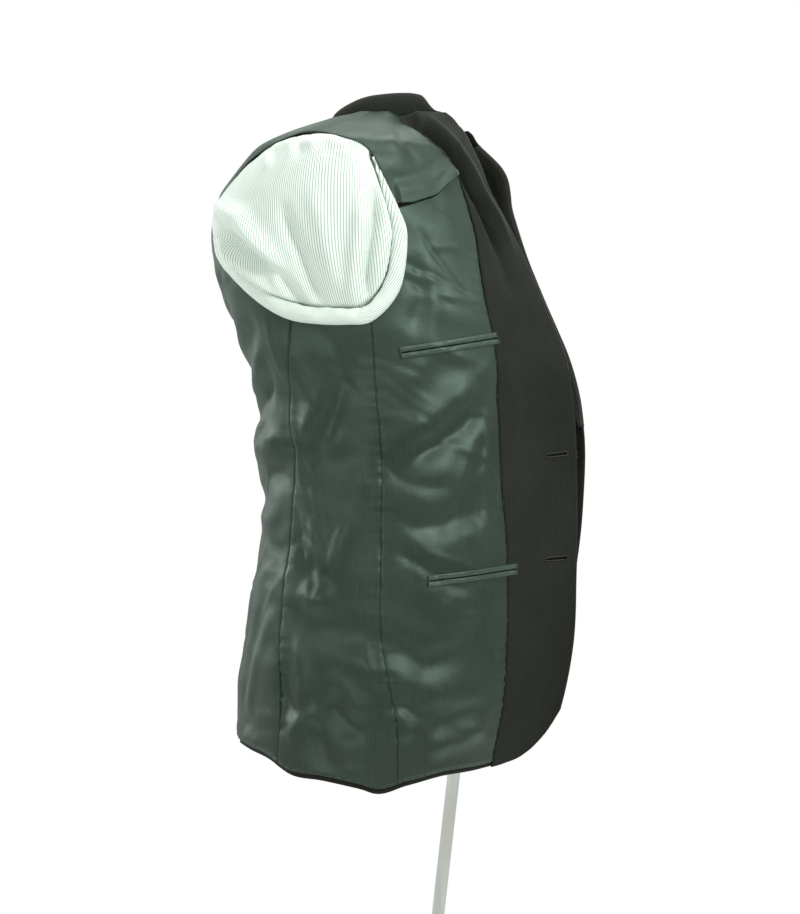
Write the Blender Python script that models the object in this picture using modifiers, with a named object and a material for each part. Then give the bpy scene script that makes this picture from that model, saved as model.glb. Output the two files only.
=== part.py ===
"""A suit jacket, turned inside out, on a limbless dress form with a leaning pole and a round base.

Metres, +Z up. The jacket's front faces -Y. Its left front, with the buttonholes, is at -X.
Every panel is a patch of one surface, the jacket body. A place on it is given by its turn, 0 at the
front edge, 1 at the side and 2 at the centre back, and by its height above the floor.
"""

import math

import bmesh
import bpy
import numpy as np
from mathutils import Vector

WALL = 0.0020
LINING_WALL = 0.0016
SEAM_GAP = 0.0008
REST_GAP = 0.0004
JACKET_Y = -0.0275
NECK_HEIGHT = 1.484
HEM_LEVEL = 0.790
LINING_LEVEL = 0.799
UNDERARM_LEVEL = 1.260
PLEAT_LEVEL = 1.390
SHOULDER_LEVEL = 1.452
LEFT, RIGHT = -1, 1

# Row heights that neighbouring panels share, so their edges run side by side.
LOW_LEVELS = (
    0.799, 0.834, 0.867, 0.898, 0.928, 0.958, 0.990, 1.022, 1.052, 1.079, 1.106, 1.132, 1.158, 1.183,
    1.208, 1.234, 1.260,
)
CHEST_LEVELS = (1.280, 1.301, 1.323, 1.345, 1.364)
SHOULDER_LEVELS = (
    1.380, 1.390, 1.402, 1.414, 1.425, 1.434, 1.441, 1.4465, 1.4508, 1.458, 1.466, 1.475, 1.484,
)

# Level sections of the jacket body: the front edge and the angle at which the cloth leaves it,
# the side, the centre back, and how square the back is.
# Columns: height, edge_x, edge_y, edge_angle, side_x, side_y, back_y, back_fullness.
SECTIONS = np.array([
    (0.750, 0.036, -0.154, 22, 0.190, 0.000, 0.179, 0.60),
    (0.800, 0.036, -0.167, 20, 0.190, 0.000, 0.178, 0.60),
    (0.850, 0.036, -0.183, 18, 0.190, 0.000, 0.174, 0.60),
    (0.916, 0.036, -0.1960, 16, 0.188, 0.000, 0.166, 0.60),
    (0.993, 0.036, -0.1995, 15, 0.185, -0.005, 0.155, 0.60),
    (1.052, 0.035, -0.2005, 15, 0.181, -0.005, 0.147, 0.60),
    (1.103, 0.036, -0.2000, 16, 0.179, -0.005, 0.154, 0.60),
    (1.147, 0.037, -0.1985, 20, 0.179, 0.000, 0.156, 0.60),
    (1.183, 0.039, -0.1955, 26, 0.181, 0.008, 0.152, 0.62),
    (1.229, 0.045, -0.1850, 34, 0.186, 0.020, 0.167, 0.66),
    (1.285, 0.053, -0.1640, 43, 0.193, 0.036, 0.182, 0.70),
    (1.337, 0.058, -0.1420, 50, 0.198, 0.046, 0.198, 0.70),
    (1.375, 0.064, -0.1240, 54, 0.202, 0.048, 0.195, 0.68),
    (1.400, 0.069, -0.1110, 57, 0.204, 0.048, 0.186, 0.66),
    (1.429, 0.072, -0.1005, 60, 0.203, 0.046, 0.165, 0.62),
    (1.447, 0.073, -0.0920, 62, 0.196, 0.043, 0.144, 0.60),
    (1.460, 0.0735, -0.0855, 60, 0.165, 0.036, 0.123, 0.58),
    (1.470, 0.074, -0.0780, 55, 0.134, 0.028, 0.104, 0.56),
    (1.479, 0.074, -0.0705, 45, 0.105, 0.018, 0.087, 0.56),
    (1.486, 0.073, -0.0610, 30, 0.086, 0.010, 0.070, 0.56),
])
SIDE_FULLNESS = 0.50
EDGE_FULLNESS = 0.36
# Roughly how far one unit of turn reaches along the cloth, for the width of folds.
TURN_LENGTH = 0.27
STEEPEST_EDGE = 6

# The armhole, from the shoulder tip down its front, along the underarm and up its back.
# Columns: turn, height.
ARMHOLE = np.array([
    (1.000, 1.4508),
    (0.800, 1.4390),
    (0.728, 1.4250),
    (0.690, 1.4005),
    (0.668, 1.3670),
    (0.672, 1.3400),
    (0.752, 1.2930),
    (0.875, 1.2640),
    (0.960, 1.2605),
    (1.065, 1.2615),
    (1.175, 1.2670),
    (1.285, 1.2830),
    (1.400, 1.3080),
    (1.500, 1.3320),
    (1.570, 1.3600),
    (1.570, 1.3900),
    (1.490, 1.4180),
    (1.380, 1.4360),
    (1.270, 1.4460),
    (1.140, 1.4500),
])
UNDERARM_FRONT_ROW = 7
UNDERARM_BACK_ROW = 10

# Seams down the body. Columns: height, turn.
FACING_SEAM = np.array([
    (0.750, 0.330), (0.860, 0.345), (0.930, 0.365), (1.030, 0.390), (1.103, 0.420), (1.177, 0.400),
    (1.234, 0.360), (1.281, 0.330), (1.323, 0.290), (1.355, 0.255), (1.374, 0.243), (1.396, 0.225),
    (1.414, 0.225), (1.4315, 0.294), (1.447, 0.360), (1.4615, 0.455), (1.4745, 0.600), (1.490, 0.770),
])
FRONT_SIDE_SEAM = np.array([
    (0.750, 0.845), (0.782, 0.850), (0.856, 0.882), (0.880, 0.905), (0.928, 0.942), (1.060, 0.965),
    (1.175, 0.946), (1.264, 0.875),
])
SIDE_BACK_SEAM = np.array([
    (0.750, 1.345), (0.797, 1.350), (0.845, 1.355), (0.964, 1.395), (1.058, 1.389), (1.116, 1.345),
    (1.176, 1.345), (1.223, 1.250), (1.267, 1.175),
])
# Lower edge of the short lining above the chest pleat. Columns: turn, height.
PLEAT = np.array([
    (0.200, 1.4150), (0.222, 1.4135), (0.344, 1.3990), (0.421, 1.3880), (0.498, 1.3825),
    (0.623, 1.3740), (0.700, 1.3700),
])
PLEAT_LIFT = 0.0034
PLEAT_CORNER = 0.0140
PLEAT_MOUTH = 0.0060
# The lowest line of the jacket. Columns: turn, height.
HEM = np.array([
    (0.000, 0.8470), (0.035, 0.8260), (0.080, 0.8110), (0.150, 0.7990), (0.250, 0.7925), (0.400, 0.7885),
    (0.632, 0.7860), (0.800, 0.7800), (0.951, 0.7725), (1.041, 0.7785), (1.156, 0.7840), (1.283, 0.7870),
    (1.420, 0.8010), (1.560, 0.8070), (2.000, 0.8080),
])

# The hem band's way down, under and up again inside. Columns: rise above the hem, outward.
HEM_PROFILE = ((0.0220, -0.0036), (0.0080, -0.0026), (0.0000, -0.0036), (0.0010, -0.0068), (0.0120, -0.0076))

# Soft troughs in the cloth. Columns: turn, height, to_turn, to_height, depth, width.
LAPEL_FOLDS = np.array([
    (0.780, 1.4830, 0.380, 1.4700, 0.0020, 0.008),
    (0.380, 1.4700, 0.180, 1.4280, 0.0045, 0.009),
    (0.180, 1.4280, 0.125, 1.3800, 0.0050, 0.010),
    (0.125, 1.3800, 0.165, 1.3000, 0.0035, 0.012),
])
LEFT_FOLDS = np.array([
    (0.400, 1.1800, 0.900, 1.1000, 0.0035, 0.016),
    (0.980, 1.2200, 1.250, 1.1300, 0.0030, 0.016),
    (0.500, 1.0500, 0.850, 1.0150, 0.0025, 0.015),
    (0.450, 0.9100, 0.800, 0.8700, 0.0035, 0.020),
    (1.450, 1.2500, 1.950, 1.1850, 0.0040, 0.015),
    (1.450, 1.1000, 1.950, 1.0600, 0.0040, 0.015),
    (1.080, 0.9200, 1.130, 0.8300, 0.0035, 0.014),
])
RIGHT_FOLDS = np.array([
    (0.430, 1.1700, 0.850, 1.1150, 0.0035, 0.017),
    (1.000, 1.2300, 1.280, 1.1200, 0.0035, 0.015),
    (0.480, 1.0300, 0.880, 0.9850, 0.0030, 0.016),
    (0.500, 0.8900, 0.860, 0.8600, 0.0030, 0.020),
    (1.420, 1.2300, 1.950, 1.1900, 0.0040, 0.016),
    (1.500, 1.0900, 1.950, 1.0550, 0.0035, 0.014),
    (1.160, 0.9400, 1.120, 0.8500, 0.0030, 0.015),
])

# How far the right front's edge hangs ahead of the left's place. Columns: height, forward.
RIGHT_SWING = np.array([
    (0.750, -0.0130), (0.960, -0.0130), (1.030, -0.0050), (1.100, 0.0000), (1.395, 0.0015), (1.412, 0.0062),
    (1.445, 0.0062), (1.462, 0.0020), (1.472, 0.0000), (1.486, 0.0000),
])
SWING_TURN = 0.45
# The facing stops this much short of its seam, as a turn.
FACING_EASE = 0.004

# The lapel, folded in behind the facing. Columns: height, width.
LAPEL = np.array([
    (1.150, 0.004), (1.180, 0.018), (1.250, 0.045), (1.330, 0.068), (1.390, 0.082), (1.425, 0.088),
    (1.445, 0.078), (1.468, 0.045),
])
LAPEL_ROLL = 0.0035
LAPEL_SPREAD = 0.0035
LAPEL_TAPER = 0.060

# The collar: a stand above the neck seam, the roll, and the fall tucked in under the shoulders.
# Columns: outward, rise.
COLLAR_PROFILE = (
    (0.0000, 0.0030), (-0.0020, 0.0085), (-0.0050, 0.0145), (-0.0085, 0.0190), (-0.0125, 0.0205),
    (-0.0155, 0.0180), (-0.0168, 0.0110), (-0.0155, 0.0020), (-0.0100, -0.0060),
)
COLLAR_FALL_HEIGHTS = (1.4810, 1.4770, 1.4735)
COLLAR_FALL_DEPTH = 0.0044
COLLAR_FRONT_TURN = 0.06
# How much of its full height the collar reaches on its way round. Columns: turn, share.
COLLAR_HEIGHT = np.array([
    (0.000, 0.42), (0.150, 0.64), (0.350, 0.88), (0.700, 1.00), (1.100, 0.94), (1.500, 0.66), (1.800, 0.42),
    (2.000, 0.34),
])
COLLAR_WALL = 0.0018

# Sleeves, left inside the body: the rolled rim, then a flat tube that hangs straight down.
SLEEVE_TOP = 1.215
CUFF = 0.870
RIM_RADIUS = 0.0085
RIM_END_RADIUS = 0.0045
RIM_START_ANGLE = 245
RIM_END_ANGLE = 205
FRONT_RIM_ROW = 3.05
BACK_RIM_ROW = 14.95
FRONT_CURTAIN_ROW = 2.84
BACK_CURTAIN_ROW = 15.16
NOTCH_BOW = 0.100
TUBE_SECTION_HEIGHT = 1.070
TUBE_INSET = 0.0110
TUBE_DEPTH = 0.0165
TUBE_TOP_TURNS = (0.770, 1.430)
TUBE_CUFF_TURNS = (0.820, 1.340)
CURTAIN_PUFF = 0.0120
CURTAIN_DEPTH = 0.0044
CURTAIN_BEHIND = 0.0165
CURTAIN_LAP = 0.0015
SLEEVE_GAP = 0.0008

# Inner pockets, each with two jets: the ends of the mouth as turn, height, to_turn, to_height.
POCKETS = {"upper": (0.808, 1.2235, 0.335, 1.2415), "lower": (0.775, 0.9895, 0.330, 0.9990)}
JET_WIDTH = 0.0055
JET_SPACING = 0.0064
JET_RISE = 0.0028
JET_WALL = 0.0018

BUTTONHOLE_HEIGHTS = {"upper": (1.1180, 1.1212), "lower": (1.0080, 1.0095)}
BUTTONHOLE_TURNS = (0.175, 0.050)
BUTTONHOLE_HALF_WIDTH = 0.0020
BUTTONHOLE_CORD = 0.0007
BUTTON_TURN = 0.075
BUTTON_RADIUS = 0.010
BUTTON_THICKNESS = 0.0035

# The dress form, by level rings. Columns: height, side_x, side_y, front_y, back_y.
FORM = np.array([
    (0.8000, 0.1000, -0.058, -0.112, 0.004),
    (0.8070, 0.1160, -0.056, -0.120, 0.026),
    (0.8260, 0.1280, -0.052, -0.126, 0.055),
    (0.8800, 0.1410, -0.045, -0.133, 0.078),
    (0.9400, 0.1430, -0.038, -0.134, 0.082),
    (1.0100, 0.1395, -0.031, -0.132, 0.078),
    (1.0800, 0.1370, -0.026, -0.130, 0.078),
    (1.1500, 0.1385, -0.014, -0.131, 0.092),
    (1.2100, 0.1425, 0.000, -0.131, 0.118),
    (1.2700, 0.1475, 0.016, -0.122, 0.148),
    (1.3300, 0.1530, 0.030, -0.106, 0.170),
    (1.3800, 0.1590, 0.039, -0.088, 0.167),
    (1.4200, 0.1640, 0.042, -0.070, 0.146),
    (1.4430, 0.1670, 0.041, -0.058, 0.120),
    (1.4556, 0.1650, 0.037, -0.056, 0.107),
    (1.4629, 0.1480, 0.032, -0.050, 0.098),
    (1.4667, 0.1170, 0.024, -0.044, 0.087),
    (1.4720, 0.0860, 0.015, -0.038, 0.073),
    (1.4800, 0.0650, 0.008, -0.038, 0.056),
    (1.4890, 0.0575, 0.006, -0.037, 0.048),
    (1.4930, 0.0530, 0.006, -0.034, 0.045),
])
FORM_ROUNDNESS = 2.15

POLE_RADIUS = 0.0070
POLE_FOOT_Y = 0.0275
POLE_LEAN = -0.1137
BASE_RADIUS = 0.175
BASE_THICKNESS = 0.008
SOCKET_RADIUS = 0.019
SOCKET_HEIGHT = 0.050

COLOURS = {
    "lining": ((0.055, 0.075, 0.065), 0.35, 0.0),
    "wool": ((0.028, 0.025, 0.021), 0.90, 0.0),
    "sleeve": ((0.80, 0.84, 0.80), 0.45, 0.0),
    "button": ((0.020, 0.018, 0.016), 0.40, 0.0),
    "form": ((0.62, 0.60, 0.55), 0.80, 0.0),
    "chrome": ((0.75, 0.77, 0.75), 0.18, 1.0),
    "base": ((0.60, 0.61, 0.60), 0.30, 1.0),
}


def smooth_rows(rows, at):
    """The table's row at one place, by a smooth curve through its rows. The first column is the place."""
    places = rows[:, 0]
    at = np.clip(at, places[0], places[-1])
    row = np.clip(np.searchsorted(places, at) - 1, 0, len(places) - 2)
    slopes = np.gradient(rows, places, axis=0)
    step = (places[row + 1] - places[row])[..., None]
    t = ((at - places[row]) / (places[row + 1] - places[row]))[..., None]
    low, high = rows[row], rows[row + 1]
    return (
        (2 * t**3 - 3 * t**2 + 1) * low
        + (t**3 - 2 * t**2 + t) * step * slopes[row]
        + (3 * t**2 - 2 * t**3) * high
        + (t**3 - t**2) * step * slopes[row + 1]
    )


def soft_step(t):
    """From 0 to 1, level at both ends."""
    t = np.clip(t, 0.0, 1.0)
    return t * t * (3 - 2 * t)


def points(*parts):
    return np.stack(np.broadcast_arrays(*parts), axis=-1)


def bezier(start, handle, far_handle, end, t):
    t = t[..., None]
    return (1 - t) ** 3 * start + 3 * (1 - t) ** 2 * t * handle + 3 * (1 - t) * t**2 * far_handle + t**3 * end


def body(turn, height):
    """The jacket body on the +X side, with no folds."""
    turn, height = np.broadcast_arrays(np.asarray(turn, float), np.asarray(height, float))
    _, edge_x, edge_y, angle, side_x, side_y, back_y, full = np.moveaxis(smooth_rows(SECTIONS, height), -1, 0)
    reach = side_y - edge_y
    lean = np.radians(angle)
    side = points(side_x, side_y)
    front = bezier(
        points(edge_x, edge_y),
        points(edge_x + EDGE_FULLNESS * reach * np.sin(lean), edge_y + EDGE_FULLNESS * reach * np.cos(lean)),
        points(side_x, side_y - SIDE_FULLNESS * reach),
        side,
        np.clip(turn, 0, 1),
    )
    back = bezier(
        side,
        points(side_x, side_y + full * (back_y - side_y)),
        points(full * side_x, back_y),
        points(0 * side_x, back_y),
        np.clip(turn - 1, 0, 1),
    )
    level = np.where((turn < 1)[..., None], front, back)
    return np.concatenate([level, height[..., None]], axis=-1)


def fold_depth(turn, height, folds):
    """How far the troughs of a table draw the cloth in at a place."""
    depth = np.zeros(np.broadcast(turn, height).shape)
    for start, low, end, high, deep, wide in folds:
        along = np.array([(end - start) * TURN_LENGTH, high - low])
        dx = (turn - start) * TURN_LENGTH
        dz = height - low
        share = (dx * along[0] + dz * along[1]) / (along @ along)
        across = np.abs(dx * along[1] - dz * along[0]) / math.hypot(*along)
        past = np.maximum(np.maximum(-share, share - 1), 0) * math.hypot(*along)
        depth += deep * np.exp(-((across / wide) ** 2) - (past / wide) ** 2)
    return depth


def cloth(turn, height, out=0.0, side=RIGHT, folds=True):
    """Points of the jacket body, with its folds, moved out from it by a distance."""
    turn, height, out = np.broadcast_arrays(
        np.asarray(turn, float), np.asarray(height, float), np.asarray(out, float)
    )
    small_turn, small_height = 0.004, 0.0015
    turn_in = np.clip(turn, small_turn, 2 - small_turn)
    height_in = np.clip(height, SECTIONS[0, 0] + small_height, SECTIONS[-1, 0] - small_height)
    across = body(turn_in + small_turn, height_in) - body(turn_in - small_turn, height_in)
    upward = body(turn_in, height_in + small_height) - body(turn_in, height_in - small_height)
    normal = np.cross(across, upward)
    normal /= np.linalg.norm(normal, axis=-1, keepdims=True)
    if folds:
        own = LEFT_FOLDS if side == LEFT else RIGHT_FOLDS
        out = out - fold_depth(turn, height, LAPEL_FOLDS) - fold_depth(turn, height, own)
    result = body(turn, height) + normal * out[..., None]
    if side == RIGHT:
        forward = smooth_rows(RIGHT_SWING, height)[..., 1]
        result[..., 1] -= forward * soft_step((SWING_TURN - turn) / SWING_TURN)
    result[..., 0] *= side
    return result


def turn_for(distance, height, near_turn=0.5):
    """The turn that a distance along the cloth takes, at a height."""
    small = 0.01
    reach = body(near_turn + small, height) - body(near_turn - small, height)
    return distance * 2 * small / np.linalg.norm(reach, axis=-1)


def armhole(row):
    """(turn, height) of the armhole at a fractional row of its table, which closes on itself."""
    row = np.asarray(row, float)
    first = np.floor(row).astype(int)
    t = (row - first)[..., None]
    before, start, end, after = (ARMHOLE[(first + step) % len(ARMHOLE)] for step in (-1, 0, 1, 2))
    place = 0.5 * (
        2 * start
        + (end - before) * t
        + (2 * before - 5 * start + 4 * end - after) * t**2
        + (3 * start - before - 3 * end + after) * t**3
    )
    return place[..., 0], place[..., 1]


def armhole_turn(height, first_row, last_row):
    """The armhole's turn at a height, along one of its sides."""
    turns, heights = armhole(np.linspace(first_row, last_row, 200))
    order = np.argsort(heights)
    return np.interp(height, heights[order], turns[order])


def seam_turn(seam, height):
    return smooth_rows(seam, np.asarray(height, float))[..., 1]


def table_height(table, turn):
    return smooth_rows(table, np.asarray(turn, float))[..., 1]


def front_panel_turn(height):
    """The back edge of the front lining: its seam, then the armhole."""
    hole = armhole_turn(height, 0, UNDERARM_FRONT_ROW)
    underarm = ARMHOLE[int(UNDERARM_FRONT_ROW), 1]
    seam = np.where(height < underarm, seam_turn(FRONT_SIDE_SEAM, height), hole)
    return np.where(height > ARMHOLE[0, 1], 1.0, seam)


def back_panel_turn(height):
    """The front edge of the back: its seam, the armhole, then the shoulder seam."""
    hole = armhole_turn(height, UNDERARM_BACK_ROW, len(ARMHOLE))
    underarm = ARMHOLE[int(UNDERARM_BACK_ROW), 1]
    seam = np.where(height < underarm, seam_turn(SIDE_BACK_SEAM, height), hole)
    return np.where(height > ARMHOLE[0, 1], 1.0, seam)


def clear_scene():
    for item in list(bpy.data.objects):
        bpy.data.objects.remove(item, do_unlink=True)


def make_material(name, finish):
    colour, roughness, metallic = COLOURS[finish]
    material = bpy.data.materials.new(name)
    material.use_nodes = True
    shader = material.node_tree.nodes["Principled BSDF"]
    shader.inputs["Base Color"].default_value = (*colour, 1.0)
    shader.inputs["Roughness"].default_value = roughness
    shader.inputs["Metallic"].default_value = metallic
    material.diffuse_color = (*colour, 1.0)
    return material


def finish_object(item, collection, finish, parent=None):
    """Puts the object in its collection, with its own material."""
    for owner in list(item.users_collection):
        owner.objects.unlink(item)
    collection.objects.link(item)
    item.data.materials.clear()
    item.data.materials.append(make_material(item.name, finish))
    if item.type == "MESH":
        item.data.shade_smooth()
    item.parent = parent
    return item


def sheet_object(name, place, across, up, wall, side=RIGHT, offset=-1.0):
    """A sheet of cloth: a grid moved to its places, then given its wall. place(u, v) takes 0 to 1 both ways."""
    mesh = bpy.data.meshes.new(name)
    grid = bmesh.new()
    bmesh.ops.create_grid(grid, x_segments=across, y_segments=up, size=0.5)
    flat = np.array([vertex.co[:2] for vertex in grid.verts]) + 0.5
    spots = place(flat[:, 0], flat[:, 1])
    for vertex, spot in zip(grid.verts, spots):
        vertex.co = Vector(spot)
    if side == LEFT:
        bmesh.ops.reverse_faces(grid, faces=grid.faces)
    grid.to_mesh(mesh)
    grid.free()
    item = bpy.data.objects.new(name, mesh)
    shell = item.modifiers.new("wall", "SOLIDIFY")
    shell.thickness = wall
    shell.offset = offset
    return item


def edge_gap(edge, height):
    """Half the seam gap as a turn, widened where the edge runs nearly level."""
    small = 0.001
    slope = (edge(height + small) - edge(height - small)) / (2 * small) * TURN_LENGTH
    return turn_for(SEAM_GAP / 2, height) * np.minimum(np.hypot(1, slope), STEEPEST_EDGE)


def row_shift(turn, level):
    """Bends a level row to the hem, the underarm and the pleat. Every panel uses it, so edges meet."""
    hem = soft_step(1 - (level - LINING_LEVEL) / 0.11)
    turns, heights = armhole(np.linspace(UNDERARM_FRONT_ROW, UNDERARM_BACK_ROW, 80))
    underarm = soft_step((level - 1.18) / (UNDERARM_LEVEL - 1.18))
    underarm = underarm * soft_step((PLEAT_LEVEL - level) / (PLEAT_LEVEL - UNDERARM_LEVEL))
    shift = (table_height(HEM, turn) - HEM_LEVEL) * hem
    return shift + (np.interp(turn, turns, heights) - UNDERARM_LEVEL) * underarm


def front_shift(turn, level):
    """As row_shift, with the rows of the front bent to the pleat too."""
    pleat = soft_step((level - UNDERARM_LEVEL) / (PLEAT_LEVEL - UNDERARM_LEVEL))
    pleat = pleat * soft_step((SHOULDER_LEVEL - level) / (SHOULDER_LEVEL - PLEAT_LEVEL))
    return row_shift(turn, level) + (table_height(PLEAT, turn) - PLEAT_LEVEL) * pleat


def panel_place(levels, start_turn, end_turn, side, shift, out=None):
    """A panel between two seams. levels are its row heights and shift bends each row."""
    levels = np.asarray(levels, float)

    def place(u, v):
        level = levels[np.rint(v * (len(levels) - 1)).astype(int)]
        height = level
        for _ in range(8):
            first = start_turn(height) + edge_gap(start_turn, height)
            last = end_turn(height) - edge_gap(end_turn, height)
            turn = first + (last - first) * u
            height = level + shift(turn, level)
        lift = 0.0 if out is None else out(turn, height)
        return cloth(turn, height, lift, side)

    return place


def make_facing(side, word, collection, frame):
    levels = (HEM_LEVEL,) + LOW_LEVELS + CHEST_LEVELS + SHOULDER_LEVELS
    place = panel_place(levels, lambda h: 0 * h, lambda h: seam_turn(FACING_SEAM, h) - FACING_EASE, side, front_shift)
    item = sheet_object(f"facing_{word}", place, 5, len(levels) - 1, WALL, side)
    finish_object(item, collection, "wool", frame)


def make_front_lining(side, word, collection, frame):
    levels = LOW_LEVELS + CHEST_LEVELS + SHOULDER_LEVELS[:2]
    place = panel_place(levels, lambda h: seam_turn(FACING_SEAM, h), front_panel_turn, side, front_shift)
    item = sheet_object(f"front_lining_{word}", place, 8, len(levels) - 1, WALL, side)
    finish_object(item, collection, "lining", frame)


def make_yoke_lining(side, word, collection, frame):
    """The short lining above the chest pleat. Its lower lip lies over the front lining and gapes at the facing."""

    def lapped(turn):
        return soft_step((0.65 - turn) / 0.10)

    def shift(turn, level):
        lifted = np.clip((SHOULDER_LEVELS[2] - level) / (SHOULDER_LEVELS[2] - SHOULDER_LEVELS[0]), 0, 1)
        return front_shift(turn, level) + PLEAT_CORNER * lifted * (1 - lapped(turn))

    def lip(turn, height):
        above = height - table_height(PLEAT, turn)
        near = soft_step((0.024 - above) / 0.016) * soft_step(lapped(turn) / 0.2)
        mouth = soft_step((0.42 - turn) / 0.17) * soft_step((0.008 - above) / 0.016)
        return PLEAT_LIFT * near + PLEAT_MOUTH * mouth

    place = panel_place(
        SHOULDER_LEVELS, lambda h: seam_turn(FACING_SEAM, h), front_panel_turn, side, shift, lip
    )
    item = sheet_object(f"front_yoke_lining_{word}", place, 8, len(SHOULDER_LEVELS) - 1, WALL, side)
    finish_object(item, collection, "lining", frame)


def make_side_lining(side, word, collection, frame):
    place = panel_place(
        LOW_LEVELS, lambda h: seam_turn(FRONT_SIDE_SEAM, h), lambda h: seam_turn(SIDE_BACK_SEAM, h), side, row_shift
    )
    item = sheet_object(f"side_lining_{word}", place, 6, len(LOW_LEVELS) - 1, WALL, side)
    finish_object(item, collection, "lining", frame)


def make_back_lining(side, word, collection, frame):
    levels = LOW_LEVELS + CHEST_LEVELS + SHOULDER_LEVELS
    place = panel_place(levels, back_panel_turn, lambda h: 2 + 0 * h, side, row_shift)
    item = sheet_object(f"back_lining_{word}", place, 8, len(levels) - 1, WALL, side)
    finish_object(item, collection, "lining", frame)


def make_hem_band(side, word, collection, frame):
    """The turned-up wool below the lining, folded under at the bottom."""
    profile = np.array(HEM_PROFILE)[::-1]

    def place(u, v):
        row = np.rint(v * (len(profile) - 1)).astype(int)
        first = seam_turn(FACING_SEAM, HEM_LEVEL) + turn_for(SEAM_GAP, HEM_LEVEL)
        last = 2 - turn_for(SEAM_GAP / 2, HEM_LEVEL, 1.9)
        turn = first + (last - first) * u
        return cloth(turn, table_height(HEM, turn) + profile[row, 0], profile[row, 1], side)

    item = sheet_object(f"hem_{word}", place, 22, len(profile) - 1, LINING_WALL, side)
    finish_object(item, collection, "wool", frame)


def make_lapel(side, word, collection, frame):
    """The lapel turns in round the roll line and lies behind the facing."""
    roll_share = 0.35

    def place(u, v):
        height = LAPEL[0, 0] + (LAPEL[-1, 0] - LAPEL[0, 0]) * v
        width = smooth_rows(LAPEL, height)[..., 1]
        bend = np.pi * np.clip(u / roll_share, 0, 1)
        back = np.clip((u - roll_share) / (1 - roll_share), 0, 1)
        turn = turn_for(1.0, height, 0.1) * width * back
        depth = -WALL / 2 - LAPEL_ROLL * (1 - np.cos(bend)) - LAPEL_SPREAD * back
        spot = cloth(turn, height, depth, side)
        edge = cloth(0.0 * turn, height, 0.0, side) - cloth(0.0 * turn + 0.02, height, 0.0, side)
        edge /= np.linalg.norm(edge, axis=-1, keepdims=True)
        tapered = soft_step((height - LAPEL[0, 0]) / LAPEL_TAPER)
        ahead = 2 * SEAM_GAP + LAPEL_ROLL * np.sin(bend) * tapered
        return spot + edge * (ahead * (1 - back))[..., None]

    item = sheet_object(f"lapel_{word}", place, 7, 12, COLLAR_WALL, -side, 0.0)
    finish_object(item, collection, "wool", frame)


def make_collar(collection, frame):
    rows = len(COLLAR_PROFILE) + len(COLLAR_FALL_HEIGHTS)

    def station(share):
        """Turn and side of a place along the collar, from its left end to its right."""
        turn = COLLAR_FRONT_TURN + (2 - COLLAR_FRONT_TURN) * (1 - np.abs(2 * share - 1))
        return turn, np.where(share < 0.5, LEFT, RIGHT)

    def place(u, v):
        turn, side = station(u)
        seam = cloth(turn, NECK_HEIGHT, 0.0)
        out = cloth(turn, NECK_HEIGHT, 0.001) - seam
        out[..., 2] = 0
        out /= np.linalg.norm(out, axis=-1, keepdims=True)
        made = np.zeros((rows, *seam.shape))
        for row, (outward, rise) in enumerate(COLLAR_PROFILE):
            made[row] = seam + out * outward
            made[row, ..., 2] += rise * smooth_rows(COLLAR_HEIGHT, turn)[..., 1]
        for row, height in enumerate(COLLAR_FALL_HEIGHTS):
            made[len(COLLAR_PROFILE) + row] = cloth(turn, height, -COLLAR_FALL_DEPTH)
        row = np.rint(v * (rows - 1)).astype(int)
        spot = made[row, np.arange(len(row))]
        spot[..., 0] *= side
        return spot

    item = sheet_object("collar", place, 26, rows - 1, COLLAR_WALL, RIGHT, 0.0)
    finish_object(item, collection, "wool", frame)


def tube_turn(share, height):
    """Where a place across the sleeve hangs, as a turn. share is -1 at its front edge and 1 at its back edge."""
    down = np.clip((SLEEVE_TOP - height) / (SLEEVE_TOP - CUFF), 0, 1)
    front = TUBE_TOP_TURNS[0] + (TUBE_CUFF_TURNS[0] - TUBE_TOP_TURNS[0]) * down
    back = TUBE_TOP_TURNS[1] + (TUBE_CUFF_TURNS[1] - TUBE_TOP_TURNS[1]) * down
    return front + (back - front) * (share + 1) / 2


def upright_wall(turn, height, depth):
    """A point straight above or below the jacket's waist, a set depth inside it."""
    spot = cloth(turn, TUBE_SECTION_HEIGHT + 0 * turn, -depth, RIGHT, folds=False)
    spot[..., 2] = height
    return spot


def rim_height(turn):
    """The height of the lower armhole at a turn."""
    turns, heights = armhole(np.linspace(4.2, 13.8, 60))
    order = np.argsort(turns)
    return np.interp(turn, turns[order], heights[order])


def rim_distance(turn, height):
    """How far inside the armhole a place is from its rolled rim. 0 beyond the rim."""
    turns, heights = armhole(np.linspace(FRONT_RIM_ROW, BACK_RIM_ROW, 80))
    apart = np.hypot((turn[..., None] - turns) * TURN_LENGTH, height[..., None] - heights).min(axis=-1)
    inside = (height > rim_height(turn)) & (turn > turns.min()) & (turn < turns.max())
    return np.where(inside, apart, 0.0)


def sleeve_path(turn, height, share, drop):
    """The way from the armhole down to the hanging tube, as turn and height. It bows out behind the notches."""
    bow = NOTCH_BOW * np.sign(share) * soft_step((np.abs(share) - 0.45) / 0.55) * 4 * drop * (1 - drop)
    low = turn + (tube_turn(share, SLEEVE_TOP) - turn) * drop
    return low + bow, height + (SLEEVE_TOP - height) * drop


def hang_in(turn, height, depth, inset):
    """Cloth between the armhole and the tube: from a depth behind the jacket to the upright wall."""
    rim = rim_height(turn)
    share = soft_step((rim - height) / (rim - SLEEVE_TOP))[..., None]
    start = cloth(turn, height, -depth, RIGHT, folds=False)
    return start + (upright_wall(turn, height, inset) - start) * share


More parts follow.
